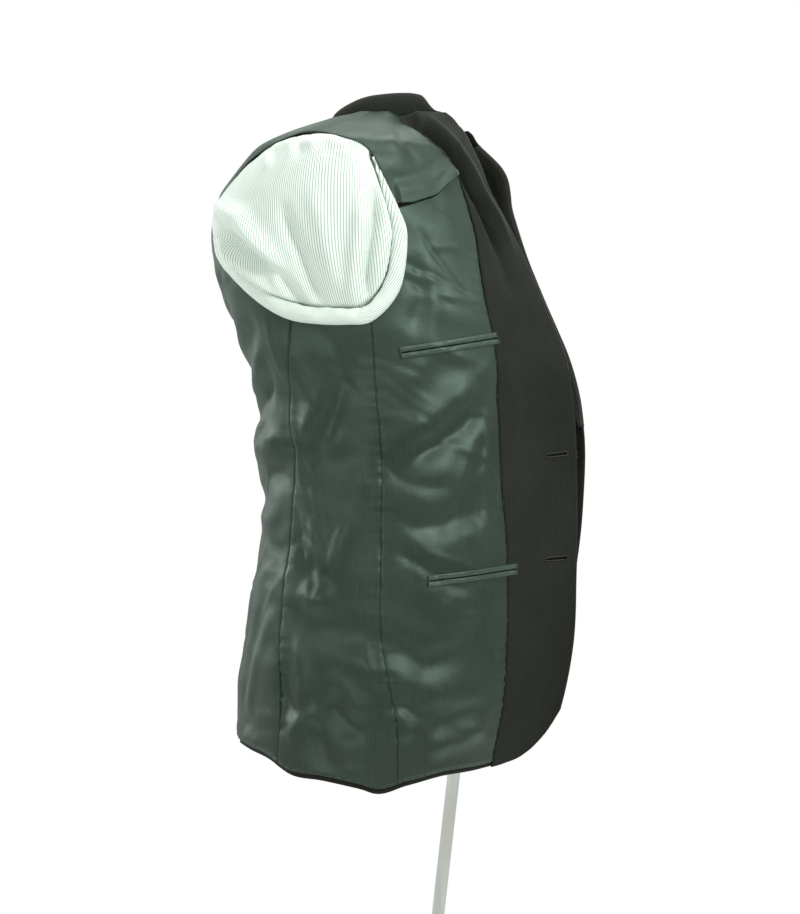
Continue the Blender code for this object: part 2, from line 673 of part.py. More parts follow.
def make_under_sleeve(side, word, collection, frame):
    """The sleeve's under half: rolled out over the lower armhole, then down inside the body."""
    roll_rows, drop_rows, hang_rows = 6, 4, 4
    rows = roll_rows + drop_rows + hang_rows

    def place(u, v):
        share = 2 * u - 1
        row = (1 - v) * rows
        where = FRONT_RIM_ROW + (BACK_RIM_ROW - FRONT_RIM_ROW) * u
        turn, height = armhole(where)
        edge = cloth(turn, height, -WALL / 2, RIGHT, folds=False)
        normal = cloth(turn, height, 0.001, RIGHT, folds=False) - cloth(turn, height, 0.0, RIGHT, folds=False)
        normal /= np.linalg.norm(normal, axis=-1, keepdims=True)
        ahead = cloth(*armhole(where + 0.05), -WALL / 2, RIGHT, folds=False) - edge
        ahead /= np.linalg.norm(ahead, axis=-1, keepdims=True)
        into_hole = np.cross(normal, ahead)
        into_hole /= np.linalg.norm(into_hole, axis=-1, keepdims=True)
        grown = soft_step((1 - np.abs(share)) / 0.22)
        radius = RIM_END_RADIUS + (RIM_RADIUS - RIM_END_RADIUS) * grown
        widest = np.radians(RIM_END_ANGLE + (RIM_START_ANGLE - RIM_END_ANGLE) * grown)
        angle = (widest * (1 - np.clip(row / roll_rows, 0, 1)))[..., None]
        roll = edge + radius[..., None] * (-normal * np.cos(angle) + into_hole * np.sin(angle))
        drop = np.clip((row - roll_rows) / drop_rows, 0, 1)
        behind = WALL / 2 + radius + (RIM_RADIUS - radius) * soft_step(drop / 0.3)
        passing = hang_in(*sleeve_path(turn, height, share, drop), behind, TUBE_INSET)
        hang = np.clip((row - roll_rows - drop_rows) / hang_rows, 0, 1)
        level = SLEEVE_TOP + (CUFF - SLEEVE_TOP) * hang
        tube = upright_wall(tube_turn(share, level), level, TUBE_INSET)
        rolled, dropping = (row <= roll_rows)[..., None], (row <= roll_rows + drop_rows)[..., None]
        spot = np.where(rolled, roll, np.where(dropping, passing, tube))
        spot[..., 0] *= side
        return spot

    item = sheet_object(f"under_sleeve_{word}", place, 14, rows, LINING_WALL, side, 0.0)
    finish_object(item, collection, "sleeve", frame)


def make_top_sleeve(side, word, collection, frame):
    """The sleeve's top half: it hangs from the upper armhole as a full curtain, then down behind the under half."""
    drop_rows, hang_rows = 10, 3
    rows = drop_rows + hang_rows

    def place(u, v):
        share = 2 * u - 1
        row = (1 - v) * rows
        where = FRONT_CURTAIN_ROW - (len(ARMHOLE) - BACK_CURTAIN_ROW + FRONT_CURTAIN_ROW) * u
        turn, height = armhole(where)
        drop = np.clip(row / drop_rows, 0, 1)
        low, level = sleeve_path(turn, height + CURTAIN_LAP, share, drop)
        clear = soft_step((rim_distance(low, level) - 0.016) / 0.024)
        puff = CURTAIN_PUFF * np.sin(np.pi * np.clip(drop / 0.75, 0, 1))
        inset = TUBE_INSET + LINING_WALL + SLEEVE_GAP + TUBE_DEPTH * (1 - np.abs(share) ** 2.5)
        depth = CURTAIN_BEHIND + (CURTAIN_DEPTH - puff - CURTAIN_BEHIND) * clear
        curtain = hang_in(low, level, depth, inset)
        hang = np.clip((row - drop_rows) / hang_rows, 0, 1)
        below = SLEEVE_TOP + (CUFF - SLEEVE_TOP) * hang
        tube = upright_wall(tube_turn(share, below), below, inset)
        spot = np.where((row <= drop_rows)[..., None], curtain, tube)
        spot[..., 0] *= side
        return spot

    item = sheet_object(f"top_sleeve_{word}", place, 14, rows, LINING_WALL, side, 0.0)
    finish_object(item, collection, "sleeve", frame)


def make_jets(collection, frame):
    """Two narrow welts along each inner pocket's mouth, on the left front."""
    for name, (turn, height, to_turn, to_height) in POCKETS.items():
        for word, lift in (("upper", JET_SPACING / 2), ("lower", -JET_SPACING / 2)):

            def place(u, v):
                across = 2 * v - 1
                at = turn + (to_turn - turn) * (1 - u)
                level = height + (to_height - height) * (1 - u) + lift + across * JET_WIDTH / 2
                return cloth(at, level, JET_RISE - 0.0007 * across**2, LEFT)

            item = sheet_object(f"{name}_pocket_{word}_jet", place, 10, 2, JET_WALL, LEFT)
            finish_object(item, collection, "lining", frame)


def closed_cord(name, route, radius):
    curve = bpy.data.curves.new(name, "CURVE")
    curve.dimensions = "3D"
    curve.bevel_depth = radius
    curve.bevel_resolution = 1
    spline = curve.splines.new("POLY")
    spline.points.add(len(route) - 1)
    for point, spot in zip(spline.points, route):
        point.co = (*spot, 1.0)
    spline.use_cyclic_u = True
    return bpy.data.objects.new(name, curve)


def make_buttonholes(collection, frame):
    """A worked edge round each slit of the left facing, wider at the eye by the front edge."""
    for name, (height, to_height) in BUTTONHOLE_HEIGHTS.items():
        angle = np.linspace(0, 2 * math.pi, 14, endpoint=False)
        along = (1 - np.cos(angle)) / 2
        turn = BUTTONHOLE_TURNS[0] + (BUTTONHOLE_TURNS[1] - BUTTONHOLE_TURNS[0]) * along
        level = height + (to_height - height) * along
        eye = 1 + 0.6 * soft_step((along - 0.75) / 0.2)
        level = level + BUTTONHOLE_HALF_WIDTH * eye * np.sign(np.sin(angle)) * np.abs(np.sin(angle)) ** 0.5
        route = cloth(turn, level, BUTTONHOLE_CORD + 2 * REST_GAP, LEFT)
        item = closed_cord(f"{name}_buttonhole", route, BUTTONHOLE_CORD)
        finish_object(item, collection, "wool", frame)


def make_buttons(collection, frame):
    """Two buttons on the right front's outer face, which is turned inward."""
    profile = [(0.0, 0.0), (0.55, 0.0), (0.72, 0.25), (0.88, 0.30), (1.0, 0.05), (1.0, -0.45), (0.85, -0.75), (0.0, -0.75)]
    for name, (height, _) in BUTTONHOLE_HEIGHTS.items():
        mesh = bpy.data.meshes.new(f"{name}_button")
        outline = bmesh.new()
        corners = [
            outline.verts.new((share * BUTTON_RADIUS, 0, rise * BUTTON_THICKNESS)) for share, rise in profile
        ]
        for first, second in zip(corners, corners[1:]):
            outline.edges.new((first, second))
        outline.to_mesh(mesh)
        outline.free()
        item = bpy.data.objects.new(f"{name}_button", mesh)
        turned = item.modifiers.new("turned", "SCREW")
        turned.steps = turned.render_steps = 16
        turned.use_merge_vertices = True
        turned.merge_threshold = 0.0001
        back = cloth(BUTTON_TURN, height, -WALL - REST_GAP, RIGHT)
        front = cloth(BUTTON_TURN, height, -WALL - 0.01, RIGHT)
        aim = Vector(front - back).normalized()
        item.rotation_mode = "QUATERNION"
        item.rotation_quaternion = Vector((0, 0, 1)).rotation_difference(aim)
        item.location = Vector(back) + aim * (0.75 * BUTTON_THICKNESS + 0.0006)
        finish_object(item, collection, "button", frame)


def make_form(collection, frame):
    """A smooth, limbless torso: level rings from its flat underside to the top of its short neck."""
    sides = 28
    mesh = bpy.data.meshes.new("dress_form")
    shape = bmesh.new()
    angles = np.linspace(0, 2 * math.pi, sides, endpoint=False)
    power = 2 / FORM_ROUNDNESS
    rings = []
    for height, side_x, side_y, front_y, back_y in FORM:
        ring = []
        for angle in angles:
            sine, cosine = math.sin(angle), math.cos(angle)
            x = side_x * math.copysign(abs(sine) ** power, sine)
            depth = (side_y - front_y) if cosine > 0 else (back_y - side_y)
            y = side_y - depth * math.copysign(abs(cosine) ** power, cosine)
            ring.append(shape.verts.new((x, y, height)))
        rings.append(ring)
    for low, high in zip(rings, rings[1:]):
        for corner in range(sides):
            after = (corner + 1) % sides
            shape.faces.new((low[corner], low[after], high[after], high[corner]))
    shape.faces.new(rings[0][::-1])
    shape.faces.new(rings[-1])
    bmesh.ops.recalc_face_normals(shape, faces=shape.faces)
    shape.to_mesh(mesh)
    shape.free()
    item = bpy.data.objects.new("dress_form", mesh)
    finish_object(item, collection, "form", frame)


def leaning_cylinder(name, radius, low, high, sides, collection, finish, frame):
    """A round bar with level ends that leans as the pole does."""
    mesh = bpy.data.meshes.new(name)
    bar = bmesh.new()
    bmesh.ops.create_cone(
        bar, cap_ends=True, segments=sides, radius1=radius, radius2=radius, depth=high - low
    )
    for vertex in bar.verts:
        vertex.co.z += (low + high) / 2
        vertex.co.y += POLE_FOOT_Y + POLE_LEAN * vertex.co.z
    bar.to_mesh(mesh)
    bar.free()
    return finish_object(bpy.data.objects.new(name, mesh), collection, finish, frame)


def make_stand(collection, frame):
    low = BASE_THICKNESS + REST_GAP
    top = FORM[0, 0] - REST_GAP
    leaning_cylinder("stand_pole", POLE_RADIUS, low + SOCKET_HEIGHT + REST_GAP, top, 20, collection, "chrome", frame)
    socket = leaning_cylinder("stand_socket", SOCKET_RADIUS, low, low + SOCKET_HEIGHT, 24, collection, "chrome", frame)
    rounded = socket.modifiers.new("rounded", "BEVEL")
    rounded.width = 0.004
    rounded.segments = 1
    rounded.limit_method = "ANGLE"
    bpy.ops.mesh.primitive_cylinder_add(
        vertices=56, radius=BASE_RADIUS, depth=BASE_THICKNESS, location=(0, POLE_FOOT_Y, BASE_THICKNESS / 2)
    )
    base = bpy.context.object
    base.name = "stand_base"
    rounded = base.modifiers.new("rounded", "BEVEL")
    rounded.width = 0.002
    rounded.segments = 1
    rounded.limit_method = "ANGLE"
    finish_object(base, collection, "base", frame)


def main():
    clear_scene()
    collection = bpy.data.collections.new("suit_jacket_on_dress_form")
    bpy.context.scene.collection.children.link(collection)
    frame = bpy.data.objects.new("jacket_axis", None)
    frame.location = (0, JACKET_Y, 0)
    collection.objects.link(frame)
    for side, word in ((LEFT, "left"), (RIGHT, "right")):
        make_facing(side, word, collection, frame)
        make_lapel(side, word, collection, frame)
        make_front_lining(side, word, collection, frame)
        make_yoke_lining(side, word, collection, frame)
        make_side_lining(side, word, collection, frame)
        make_back_lining(side, word, collection, frame)
        make_hem_band(side, word, collection, frame)
        make_under_sleeve(side, word, collection, frame)
        make_top_sleeve(side, word, collection, frame)
    make_collar(collection, frame)
    make_jets(collection, frame)
    make_buttonholes(collection, frame)
    make_buttons(collection, frame)
    make_form(collection, frame)
    make_stand(collection, frame)


main()
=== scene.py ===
"""The looks of a suit jacket, turned inside out, on a limbless dress form with a leaning pole.

Metres, +Z up. The jacket's front faces -Y. Its left front, with the buttonholes, is at -X.
Every panel is a patch of one surface, the jacket body. A place on it is given by its turn, 0 at the
front edge, 1 at the side and 2 at the centre back, and by its height above the floor.
"""

import math

import bpy
import numpy as np
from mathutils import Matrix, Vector


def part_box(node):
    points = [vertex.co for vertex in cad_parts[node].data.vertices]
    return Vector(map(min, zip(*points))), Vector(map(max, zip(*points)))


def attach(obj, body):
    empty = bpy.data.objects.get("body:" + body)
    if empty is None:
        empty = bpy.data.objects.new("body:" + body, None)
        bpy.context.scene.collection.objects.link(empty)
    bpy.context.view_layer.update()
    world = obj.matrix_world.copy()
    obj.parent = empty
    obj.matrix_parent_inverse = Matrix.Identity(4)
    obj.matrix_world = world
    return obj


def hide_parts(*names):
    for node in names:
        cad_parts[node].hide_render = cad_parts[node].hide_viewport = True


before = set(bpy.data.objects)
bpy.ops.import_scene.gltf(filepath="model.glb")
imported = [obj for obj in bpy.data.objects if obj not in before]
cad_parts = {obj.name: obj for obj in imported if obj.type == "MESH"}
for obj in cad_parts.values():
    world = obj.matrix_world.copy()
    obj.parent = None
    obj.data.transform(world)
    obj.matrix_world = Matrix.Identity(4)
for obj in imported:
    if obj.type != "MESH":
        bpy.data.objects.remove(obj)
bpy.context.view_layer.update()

WALL = 0.0020
LINING_WALL = 0.0016
SEAM_GAP = 0.0001
REST_GAP = 0.0004
JACKET_Y = -0.0275
NECK_HEIGHT = 1.484
HEM_LEVEL = 0.790
LINING_LEVEL = 0.7955
UNDERARM_LEVEL = 1.260
PLEAT_LEVEL = 1.390
SHOULDER_LEVEL = 1.452
# How far above the lining's lower edge the rows bend to the hem, and where they start to bend to the underarm.
HEM_BEND = 0.11
UNDERARM_BEND = 1.18
LEFT, RIGHT = -1, 1
SIDE_WORDS = {LEFT: "left", RIGHT: "right"}

# Row heights that neighbouring panels share, so their edges run side by side.
LOW_LEVELS = (
    LINING_LEVEL, 0.834, 0.867, 0.898, 0.928, 0.958, 0.990, 1.022, 1.052, 1.079, 1.106, 1.132, 1.158, 1.183,
    1.208, 1.234, UNDERARM_LEVEL,
)
CHEST_LEVELS = (1.280, 1.301, 1.323, 1.345, 1.364)
SHOULDER_LEVELS = (
    1.380, 1.390, 1.402, 1.414, 1.425, 1.434, 1.441, 1.4465, 1.4508, 1.458, 1.466, 1.475, 1.484,
)

# Level sections of the jacket body: the front edge and the angle at which the cloth leaves it,
# the side, the centre back, and how square the back is.
# Columns: height, edge_x, edge_y, edge_angle, side_x, side_y, back_y, back_fullness.
SECTIONS = np.array([
    (0.750, 0.036, -0.154, 22, 0.190, 0.000, 0.179, 0.60),
    (0.800, 0.036, -0.167, 20, 0.190, 0.000, 0.178, 0.60),
    (0.850, 0.036, -0.183, 18, 0.190, 0.000, 0.174, 0.60),
    (0.916, 0.036, -0.1960, 16, 0.188, 0.000, 0.166, 0.60),
    (0.993, 0.036, -0.1995, 15, 0.185, -0.005, 0.155, 0.60),
    (1.052, 0.035, -0.2005, 15, 0.181, -0.005, 0.147, 0.60),
    (1.103, 0.036, -0.2000, 16, 0.179, -0.005, 0.154, 0.60),
    (1.147, 0.037, -0.1985, 20, 0.179, 0.000, 0.156, 0.60),
    (1.183, 0.039, -0.1955, 26, 0.181, 0.008, 0.152, 0.62),
    (1.229, 0.045, -0.1850, 34, 0.186, 0.020, 0.167, 0.66),
    (1.285, 0.053, -0.1640, 43, 0.193, 0.036, 0.182, 0.70),
    (1.337, 0.058, -0.1420, 50, 0.198, 0.046, 0.198, 0.70),
    (1.375, 0.064, -0.1240, 54, 0.202, 0.048, 0.195, 0.68),
    (1.400, 0.069, -0.1110, 57, 0.204, 0.048, 0.186, 0.66),
    (1.429, 0.072, -0.1005, 60, 0.203, 0.046, 0.165, 0.62),
    (1.447, 0.073, -0.0920, 62, 0.196, 0.043, 0.144, 0.60),
    (1.460, 0.0735, -0.0855, 60, 0.165, 0.036, 0.123, 0.58),
    (1.470, 0.074, -0.0780, 55, 0.134, 0.028, 0.104, 0.56),
    (1.479, 0.074, -0.0705, 45, 0.105, 0.018, 0.087, 0.56),
    (1.486, 0.073, -0.0610, 30, 0.086, 0.010, 0.070, 0.56),
])
SIDE_FULLNESS = 0.50
EDGE_FULLNESS = 0.36
# Roughly how far one unit of turn reaches along the cloth, for the width of folds.
TURN_LENGTH = 0.27
STEEPEST_EDGE = 6
# How much of a crease is left at its ends, and the part of its length over which it grows.
CREASE_END = 0.15
CREASE_GROWTH = 0.3
# How far out a second point is taken to find the way out of the cloth.
NORMAL_STEP = 0.001

# The armhole, from the shoulder tip down its front, along the underarm and up its back.
# Columns: turn, height.
ARMHOLE = np.array([
    (1.000, 1.4508),
    (0.800, 1.4390),
    (0.728, 1.4250),
    (0.690, 1.4005),
    (0.668, 1.3670),
    (0.672, 1.3400),
    (0.752, 1.2930),
    (0.875, 1.2640),
    (0.960, 1.2605),
    (1.065, 1.2615),
    (1.175, 1.2670),
    (1.285, 1.2830),
    (1.400, 1.3080),
    (1.500, 1.3320),
    (1.570, 1.3600),
    (1.570, 1.3900),
    (1.490, 1.4180),
    (1.380, 1.4360),
    (1.270, 1.4460),
    (1.140, 1.4500),
])
UNDERARM_FRONT_ROW = 7
UNDERARM_BACK_ROW = 10

# Seams down the body. Columns: height, turn.
FACING_SEAM = np.array([
    (0.750, 0.330), (0.860, 0.345), (0.930, 0.365), (1.030, 0.390), (1.103, 0.420), (1.177, 0.400),
    (1.234, 0.360), (1.281, 0.330), (1.323, 0.290), (1.355, 0.255), (1.374, 0.243), (1.396, 0.225),
    (1.414, 0.225), (1.4315, 0.294), (1.447, 0.360), (1.4615, 0.455), (1.4745, 0.600), (1.490, 0.770),
])
FRONT_SIDE_SEAM = np.array([
    (0.750, 0.845), (0.782, 0.850), (0.856, 0.882), (0.880, 0.905), (0.928, 0.942), (1.060, 0.965),
    (1.175, 0.946), (1.264, 0.875),
])
SIDE_BACK_SEAM = np.array([
    (0.750, 1.345), (0.797, 1.350), (0.845, 1.355), (0.964, 1.395), (1.058, 1.389), (1.116, 1.345),
    (1.176, 1.345), (1.223, 1.250), (1.267, 1.175),
])
# Lower edge of the short lining above the chest pleat. Columns: turn, height.
PLEAT = np.array([
    (0.200, 1.4150), (0.222, 1.4135), (0.344, 1.3990), (0.421, 1.3880), (0.498, 1.3825),
    (0.623, 1.3740), (0.700, 1.3700),
])
PLEAT_LIFT = 0.0034
PLEAT_CORNER = 0.0140
PLEAT_MOUTH = 0.0042
PLEAT_RAISE = 0.0108
# Where the lip ends along the chest and above its edge, and where it gapes: an edge and a width to fade over.
LIP_TURN = (0.65, 0.10)
LIP_HEIGHT = (0.030, 0.016)
MOUTH_TURN = (0.42, 0.17)
MOUTH_HEIGHT = (0.019, 0.014)
# The lowest line of the jacket. Columns: turn, height.
HEM = np.array([
    (0.000, 0.8470), (0.035, 0.8260), (0.080, 0.8110), (0.150, 0.7990), (0.250, 0.7925), (0.400, 0.7885),
    (0.632, 0.7860), (0.800, 0.7800), (0.951, 0.7725), (1.041, 0.7785), (1.156, 0.7840), (1.283, 0.7870),
    (1.420, 0.8010), (1.560, 0.8070), (2.000, 0.8080),
])

# The hem band's way down, under and up again inside. Columns: rise above the hem, outward.
HEM_PROFILE = ((0.0220, -0.0036), (0.0080, -0.0026), (0.0000, -0.0036), (0.0010, -0.0068), (0.0120, -0.0076))

# Soft troughs in the cloth. Columns: turn, height, to_turn, to_height, depth, width.
LAPEL_FOLDS = np.array([
    (0.780, 1.4830, 0.380, 1.4700, 0.0020, 0.008),
    (0.380, 1.4700, 0.180, 1.4280, 0.0045, 0.009),
    (0.180, 1.4280, 0.125, 1.3800, 0.0050, 0.010),
    (0.125, 1.3800, 0.165, 1.3000, 0.0035, 0.012),
])
LEFT_FOLDS = np.array([
    (0.400, 1.1800, 0.900, 1.1000, 0.0035, 0.016),
    (0.980, 1.2200, 1.250, 1.1300, 0.0030, 0.016),
    (0.500, 1.0500, 0.850, 1.0150, 0.0025, 0.015),
    (0.450, 0.9100, 0.800, 0.8700, 0.0035, 0.020),
    (1.450, 1.2500, 1.950, 1.1850, 0.0040, 0.015),
    (1.450, 1.1000, 1.950, 1.0600, 0.0040, 0.015),
    (1.080, 0.9200, 1.130, 0.8300, 0.0035, 0.014),
])
RIGHT_FOLDS = np.array([
    (0.430, 1.1700, 0.850, 1.1150, 0.0035, 0.017),
    (1.000, 1.2300, 1.280, 1.1200, 0.0035, 0.015),
    (0.480, 1.0300, 0.880, 0.9850, 0.0030, 0.016),
    (0.500, 0.8900, 0.860, 0.8600, 0.0030, 0.020),
    (1.420, 1.2300, 1.950, 1.1900, 0.0040, 0.016),
    (1.500, 1.0900, 1.950, 1.0550, 0.0035, 0.014),
    (1.160, 0.9400, 1.120, 0.8500, 0.0030, 0.015),
])
FOLDS = {"left": LEFT_FOLDS, "right": RIGHT_FOLDS}

# How far the right front's edge hangs ahead of the left's place. Columns: height, forward.
RIGHT_SWING = np.array([
    (0.750, -0.0130), (0.960, -0.0130), (1.030, -0.0050), (1.100, 0.0000), (1.395, 0.0015), (1.412, 0.0062),
    (1.445, 0.0062), (1.455, 0.0010), (1.464, -0.0030), (1.474, -0.0030), (1.482, -0.0004),
    (1.486, 0.0000),
])
SWING_TURN = 0.45
# The facing stops this much short of its seam, as a turn.
FACING_EASE = 0.001

# The lapel, folded in behind the facing. Columns: height, width.
LAPEL = np.array([
    (1.150, 0.004), (1.180, 0.018), (1.250, 0.045), (1.330, 0.068), (1.390, 0.082), (1.425, 0.088),
    (1.445, 0.078), (1.468, 0.045),
])
LAPEL_ROLL = 0.0035
LAPEL_SPREAD = 0.0035
LAPEL_TAPER = 0.095
# How wide the lapel's lower point is, and how much of its width goes into the roll.
LAPEL_POINT = 0.3
LAPEL_ROLL_SHARE = 0.35

# The collar: a stand above the neck seam, the roll, and the fall tucked in under the shoulders.
# Columns: outward, rise.
COLLAR_PROFILE = (
    (-0.0034, -0.0060), (-0.0026, 0.0060), (-0.0050, 0.0145), (-0.0085, 0.0190), (-0.0125, 0.0205),
    (-0.0155, 0.0180), (-0.0168, 0.0110), (-0.0155, 0.0020), (-0.0100, -0.0060),
)
COLLAR_FALL_HEIGHTS = (1.4810, 1.4770, 1.4735)
COLLAR_FALL_DEPTH = 0.0062
COLLAR_END = 0.04
COLLAR_TAPER = 0.30
COLLAR_FRONT_TURN = 0.06
# How much of its full height the collar reaches on its way round. Columns: turn, share.
COLLAR_HEIGHT = np.array([
    (0.000, 0.20), (0.150, 0.62), (0.350, 0.88), (0.700, 1.00), (1.100, 0.86), (1.500, 0.52), (1.800, 0.34),
    (2.000, 0.30),
])

# Sleeves, left inside the body: the rolled rim, then a flat tube that hangs straight down.
SLEEVE_TOP = 1.215
CUFF = 0.870
RIM_RADIUS = 0.0085
RIM_END_RADIUS = 0.0009
RIM_TAPER = 0.44
RIM_START_ANGLE = 245
RIM_END_ANGLE = 205
FRONT_RIM_ROW = 2.05
BACK_RIM_ROW = 15.06
# Rows of the armhole's lower half, from its front notch to its back one.
LOWER_HOLE_ROWS = (4.2, 13.8)
# The roll's rows crowd towards its outer edge, and its cloth is slack by this much.
ROLL_CROWDING = 1.6
ROLL_SLACK = 0.00055
# How the curtain is held behind the rim: points tested, share held at the rim's ends, and reach.
RIM_SPOTS = 80
COVER_AT_ENDS = 0.35
COVER_REACH = 0.009
FRONT_CURTAIN_ROW = 2.84
BACK_CURTAIN_ROW = 15.16
NOTCH_BOW = 0.100
TUBE_SECTION_HEIGHT = 1.070
TUBE_INSET = 0.0110
TUBE_DEPTH = 0.0165
TUBE_SQUARENESS = 2.5
TUBE_TOP_TURNS = (0.770, 1.430)
TUBE_CUFF_TURNS = (0.820, 1.340)
CURTAIN_PUFF = 0.0120
CURTAIN_BEHIND = 0.0165
CURTAIN_TUCK = 0.0030
CURTAIN_TUCK_DEPTH = 0.0034
GATHER_DEPTH = 0.0011
# Shares of the way down the sleeve head: where its puff ends, and where gathers and folds start and fade.
PUFF_END = 0.75
GATHER_START = 0.03
GATHER_FADE = 0.10
FOLD_START = 0.08
# The share of a gathered piece's rows at which its width is taken.
EVEN_ROW = 0.6
SLEEVE_GAP = 0.0008

# Inner pockets, each with two jets: the turns and the heights of the ends of the mouth.
POCKETS = {
    "upper": ((0.808, 0.335), (1.2235, 1.2415)),
    "lower": ((0.775, 0.330), (0.9895, 0.9990)),
}
JET_WIDTH = 0.0055
JET_SPACING = 0.0064
JET_RISE = 0.0018
JET_ARCH = 0.0006
JET_RIPPLE = 0.00022
POCKET_SLOT = 0.0010
MOUTH_WALL = 0.0005
TACK_REACH = 0.0052
# Lengths and radii of a tack's and of a pocket's stitches, and how far the last lie from the jet.
TACK_STITCH = (0.0022, 0.0004)
JET_STITCH = (0.0017, 0.00022)
JET_STITCH_GAP = 0.0008

# The heights and the turns of a buttonhole's ends.
BUTTONHOLE_HEIGHTS = {"upper": (1.1180, 1.1212), "lower": (1.0080, 1.0095)}
BUTTONHOLE_TURNS = (0.175, 0.050)
BUTTONHOLE_HALF_WIDTH = 0.0020
BUTTONHOLE_CORD = 0.0007
BUTTONHOLE_WRAPS = 55
BUTTONHOLE_WRAP_RISE = 0.16
# The eye: how much wider it is, and where along the buttonhole it starts and over what share it grows.
EYE_GROWTH = 0.6
EYE_START = 0.75
EYE_TAPER = 0.2
SLIT_WALL = 0.0003
BUTTON_TURN = 0.075
BUTTON_RADIUS = 0.010
BUTTON_THICKNESS = 0.0035
# How far the button's middle stands out, and how much of its thickness lies behind it.
BUTTON_LIFT = 0.0006
BUTTON_BACK = 0.72
# The button's turned face. Columns: share of the radius, share of the thickness.
BUTTON_FACE = np.array([(0.0, 0.00), (0.55, 0.00), (0.72, 0.25), (0.88, 0.30), (0.97, 0.16), (1.0, -0.10)])
HOLE_RADIUS = 0.0010
HOLE_SPREAD = 0.0016
HOLE_DEPTH = 0.0018

# Level sections of the dress form. Columns: height, side_x, side_y, front_y, back_y.
FORM = np.array([
    (0.8000, 0.1000, -0.058, -0.112, 0.004),
    (0.8070, 0.1160, -0.056, -0.120, 0.026),
    (0.8260, 0.1280, -0.052, -0.126, 0.055),
    (0.8800, 0.1410, -0.045, -0.133, 0.078),
    (0.9400, 0.1430, -0.038, -0.134, 0.082),
    (1.0100, 0.1395, -0.031, -0.132, 0.078),
    (1.0800, 0.1370, -0.026, -0.130, 0.078),
    (1.1500, 0.1385, -0.014, -0.131, 0.092),
    (1.2100, 0.1425, 0.000, -0.131, 0.118),
    (1.2700, 0.1475, 0.016, -0.122, 0.148),
    (1.3300, 0.1530, 0.030, -0.106, 0.170),
    (1.3800, 0.1590, 0.039, -0.088, 0.167),
    (1.4200, 0.1640, 0.042, -0.070, 0.146),
    (1.4430, 0.1670, 0.041, -0.058, 0.120),
    (1.4556, 0.1650, 0.037, -0.056, 0.107),
    (1.4629, 0.1480, 0.032, -0.050, 0.098),
    (1.4667, 0.1170, 0.024, -0.044, 0.087),
    (1.4720, 0.0860, 0.015, -0.038, 0.073),
    (1.4800, 0.0650, 0.008, -0.038, 0.056),
    (1.4890, 0.0575, 0.006, -0.037, 0.048),
    (1.4930, 0.0530, 0.006, -0.034, 0.045),
])
FORM_ROUNDNESS = 2.15
FORM_INSET = 0.0004
FORM_SEAM_DIP = 0.0007
FORM_SEAM_WIDTH = 0.0016

# Walls of the cloth as it is seen, each within its solid's wall.
SATIN_WALL = 0.0010
WOOL_WALL = 0.0016
COLLAR_SHELL = 0.0016
SLEEVE_WALL = 0.0009
# Colours of the satin's painted sheen, lighter and bluer round the chest and upper back as light on the cloth,
# of its hem, slubs and threads, and the heights over which the cloth changes colour.
SATIN_PAINTED_SHEEN = (0.042, 0.066, 0.055)
SATIN_HEM = (0.022, 0.023, 0.017)
SATIN_SLUB = (0.036, 0.049, 0.040)
SATIN_THREAD = (0.04, 0.062, 0.050)
SATIN_PAINTED_SHEEN_HEIGHTS = (1.13, 1.27)
SATIN_PAINTED_SHEEN_FADE_HEIGHTS = (1.37, 1.42)
SATIN_HEM_HEIGHTS = (0.90, 0.80)
WOOL_HEM = (0.0095, 0.0098, 0.0072)
WOOL_HEM_HEIGHTS = (1.05, 0.85)
RIB_PITCH = 0.00275
STRIPE_PITCH = 0.0032
PICK_SPACING = 0.0062
HEM_STITCH_SPACING = 0.0095
# The heights between which pick stitches run and how far they lie from the seam, as a turn. The turns between
# which hem stitches run, how far above the lining's edge they lie, and how long they are.
PICK_HEIGHTS = (0.815, 1.405)
PICK_INSET = 0.014
HEM_STITCH_TURNS = (0.37, 1.96)
HEM_STITCH_RISE = 0.0014
HEM_STITCH_LENGTH = 0.0024
HEM_LAP = 0.016
# Where one panel's edge passes under the next.
TUCK_LAP = 0.0020
TUCK_TURN = 0.0055
# How deep an edge dips under wool and under satin.
UNDER_WOOL = 0.0020
UNDER_SATIN = 0.0011

VIEW_TARGET = (0.0, -0.0275, 1.117)
VIEW_DISTANCE = 2.6
VIEW_TURN = 11
METRES_PER_PIXEL = 0.0011
PHOTO_HEIGHT = 914
SENSOR = 36
FLOOR_RADIUS = 1.7
FLOOR_HEIGHT = -0.0005
SURROUND_LIGHT = 0.56
STUDIO_TONE = (0.955, 1.0, 0.955)
# Name, place, width and watts of each soft light.
STUDIO_LIGHTS = (
    ("key", (-1.4, -2.1, 2.4), 0.9, 44),
    ("top", (0.1, -0.3, 3.0), 1.6, 30),
    ("near_fill", (-2.4, 1.2, 1.6), 1.4, 14),
    ("far_side", (2.2, -1.0, 2.0), 1.4, 34),
    ("behind", (0.6, 2.6, 1.9), 1.4, 26),
)

JACKET_PLACE = (0.0, JACKET_Y, 0.0)
SEAM_DIP = 0.0003
SEAM_DIP_WIDTH = 0.0022
SEAM_PUCKER = 0.00034
PUCKER_REACH = 0.009
# Waves of the puckers up a seam. Columns: share, radians in a metre, shift from seam to seam.
PUCKER_WAVES = ((1.0, 560, 1), (0.7, 347, 2), (0.5, 911, 0))
# Stronger puckers near the hem.
HEM_PULL = 1.6
HEM_PULL_HEIGHT = 0.885
HEM_PULL_REACH = 0.05
EASE_SWELL = 0.0011
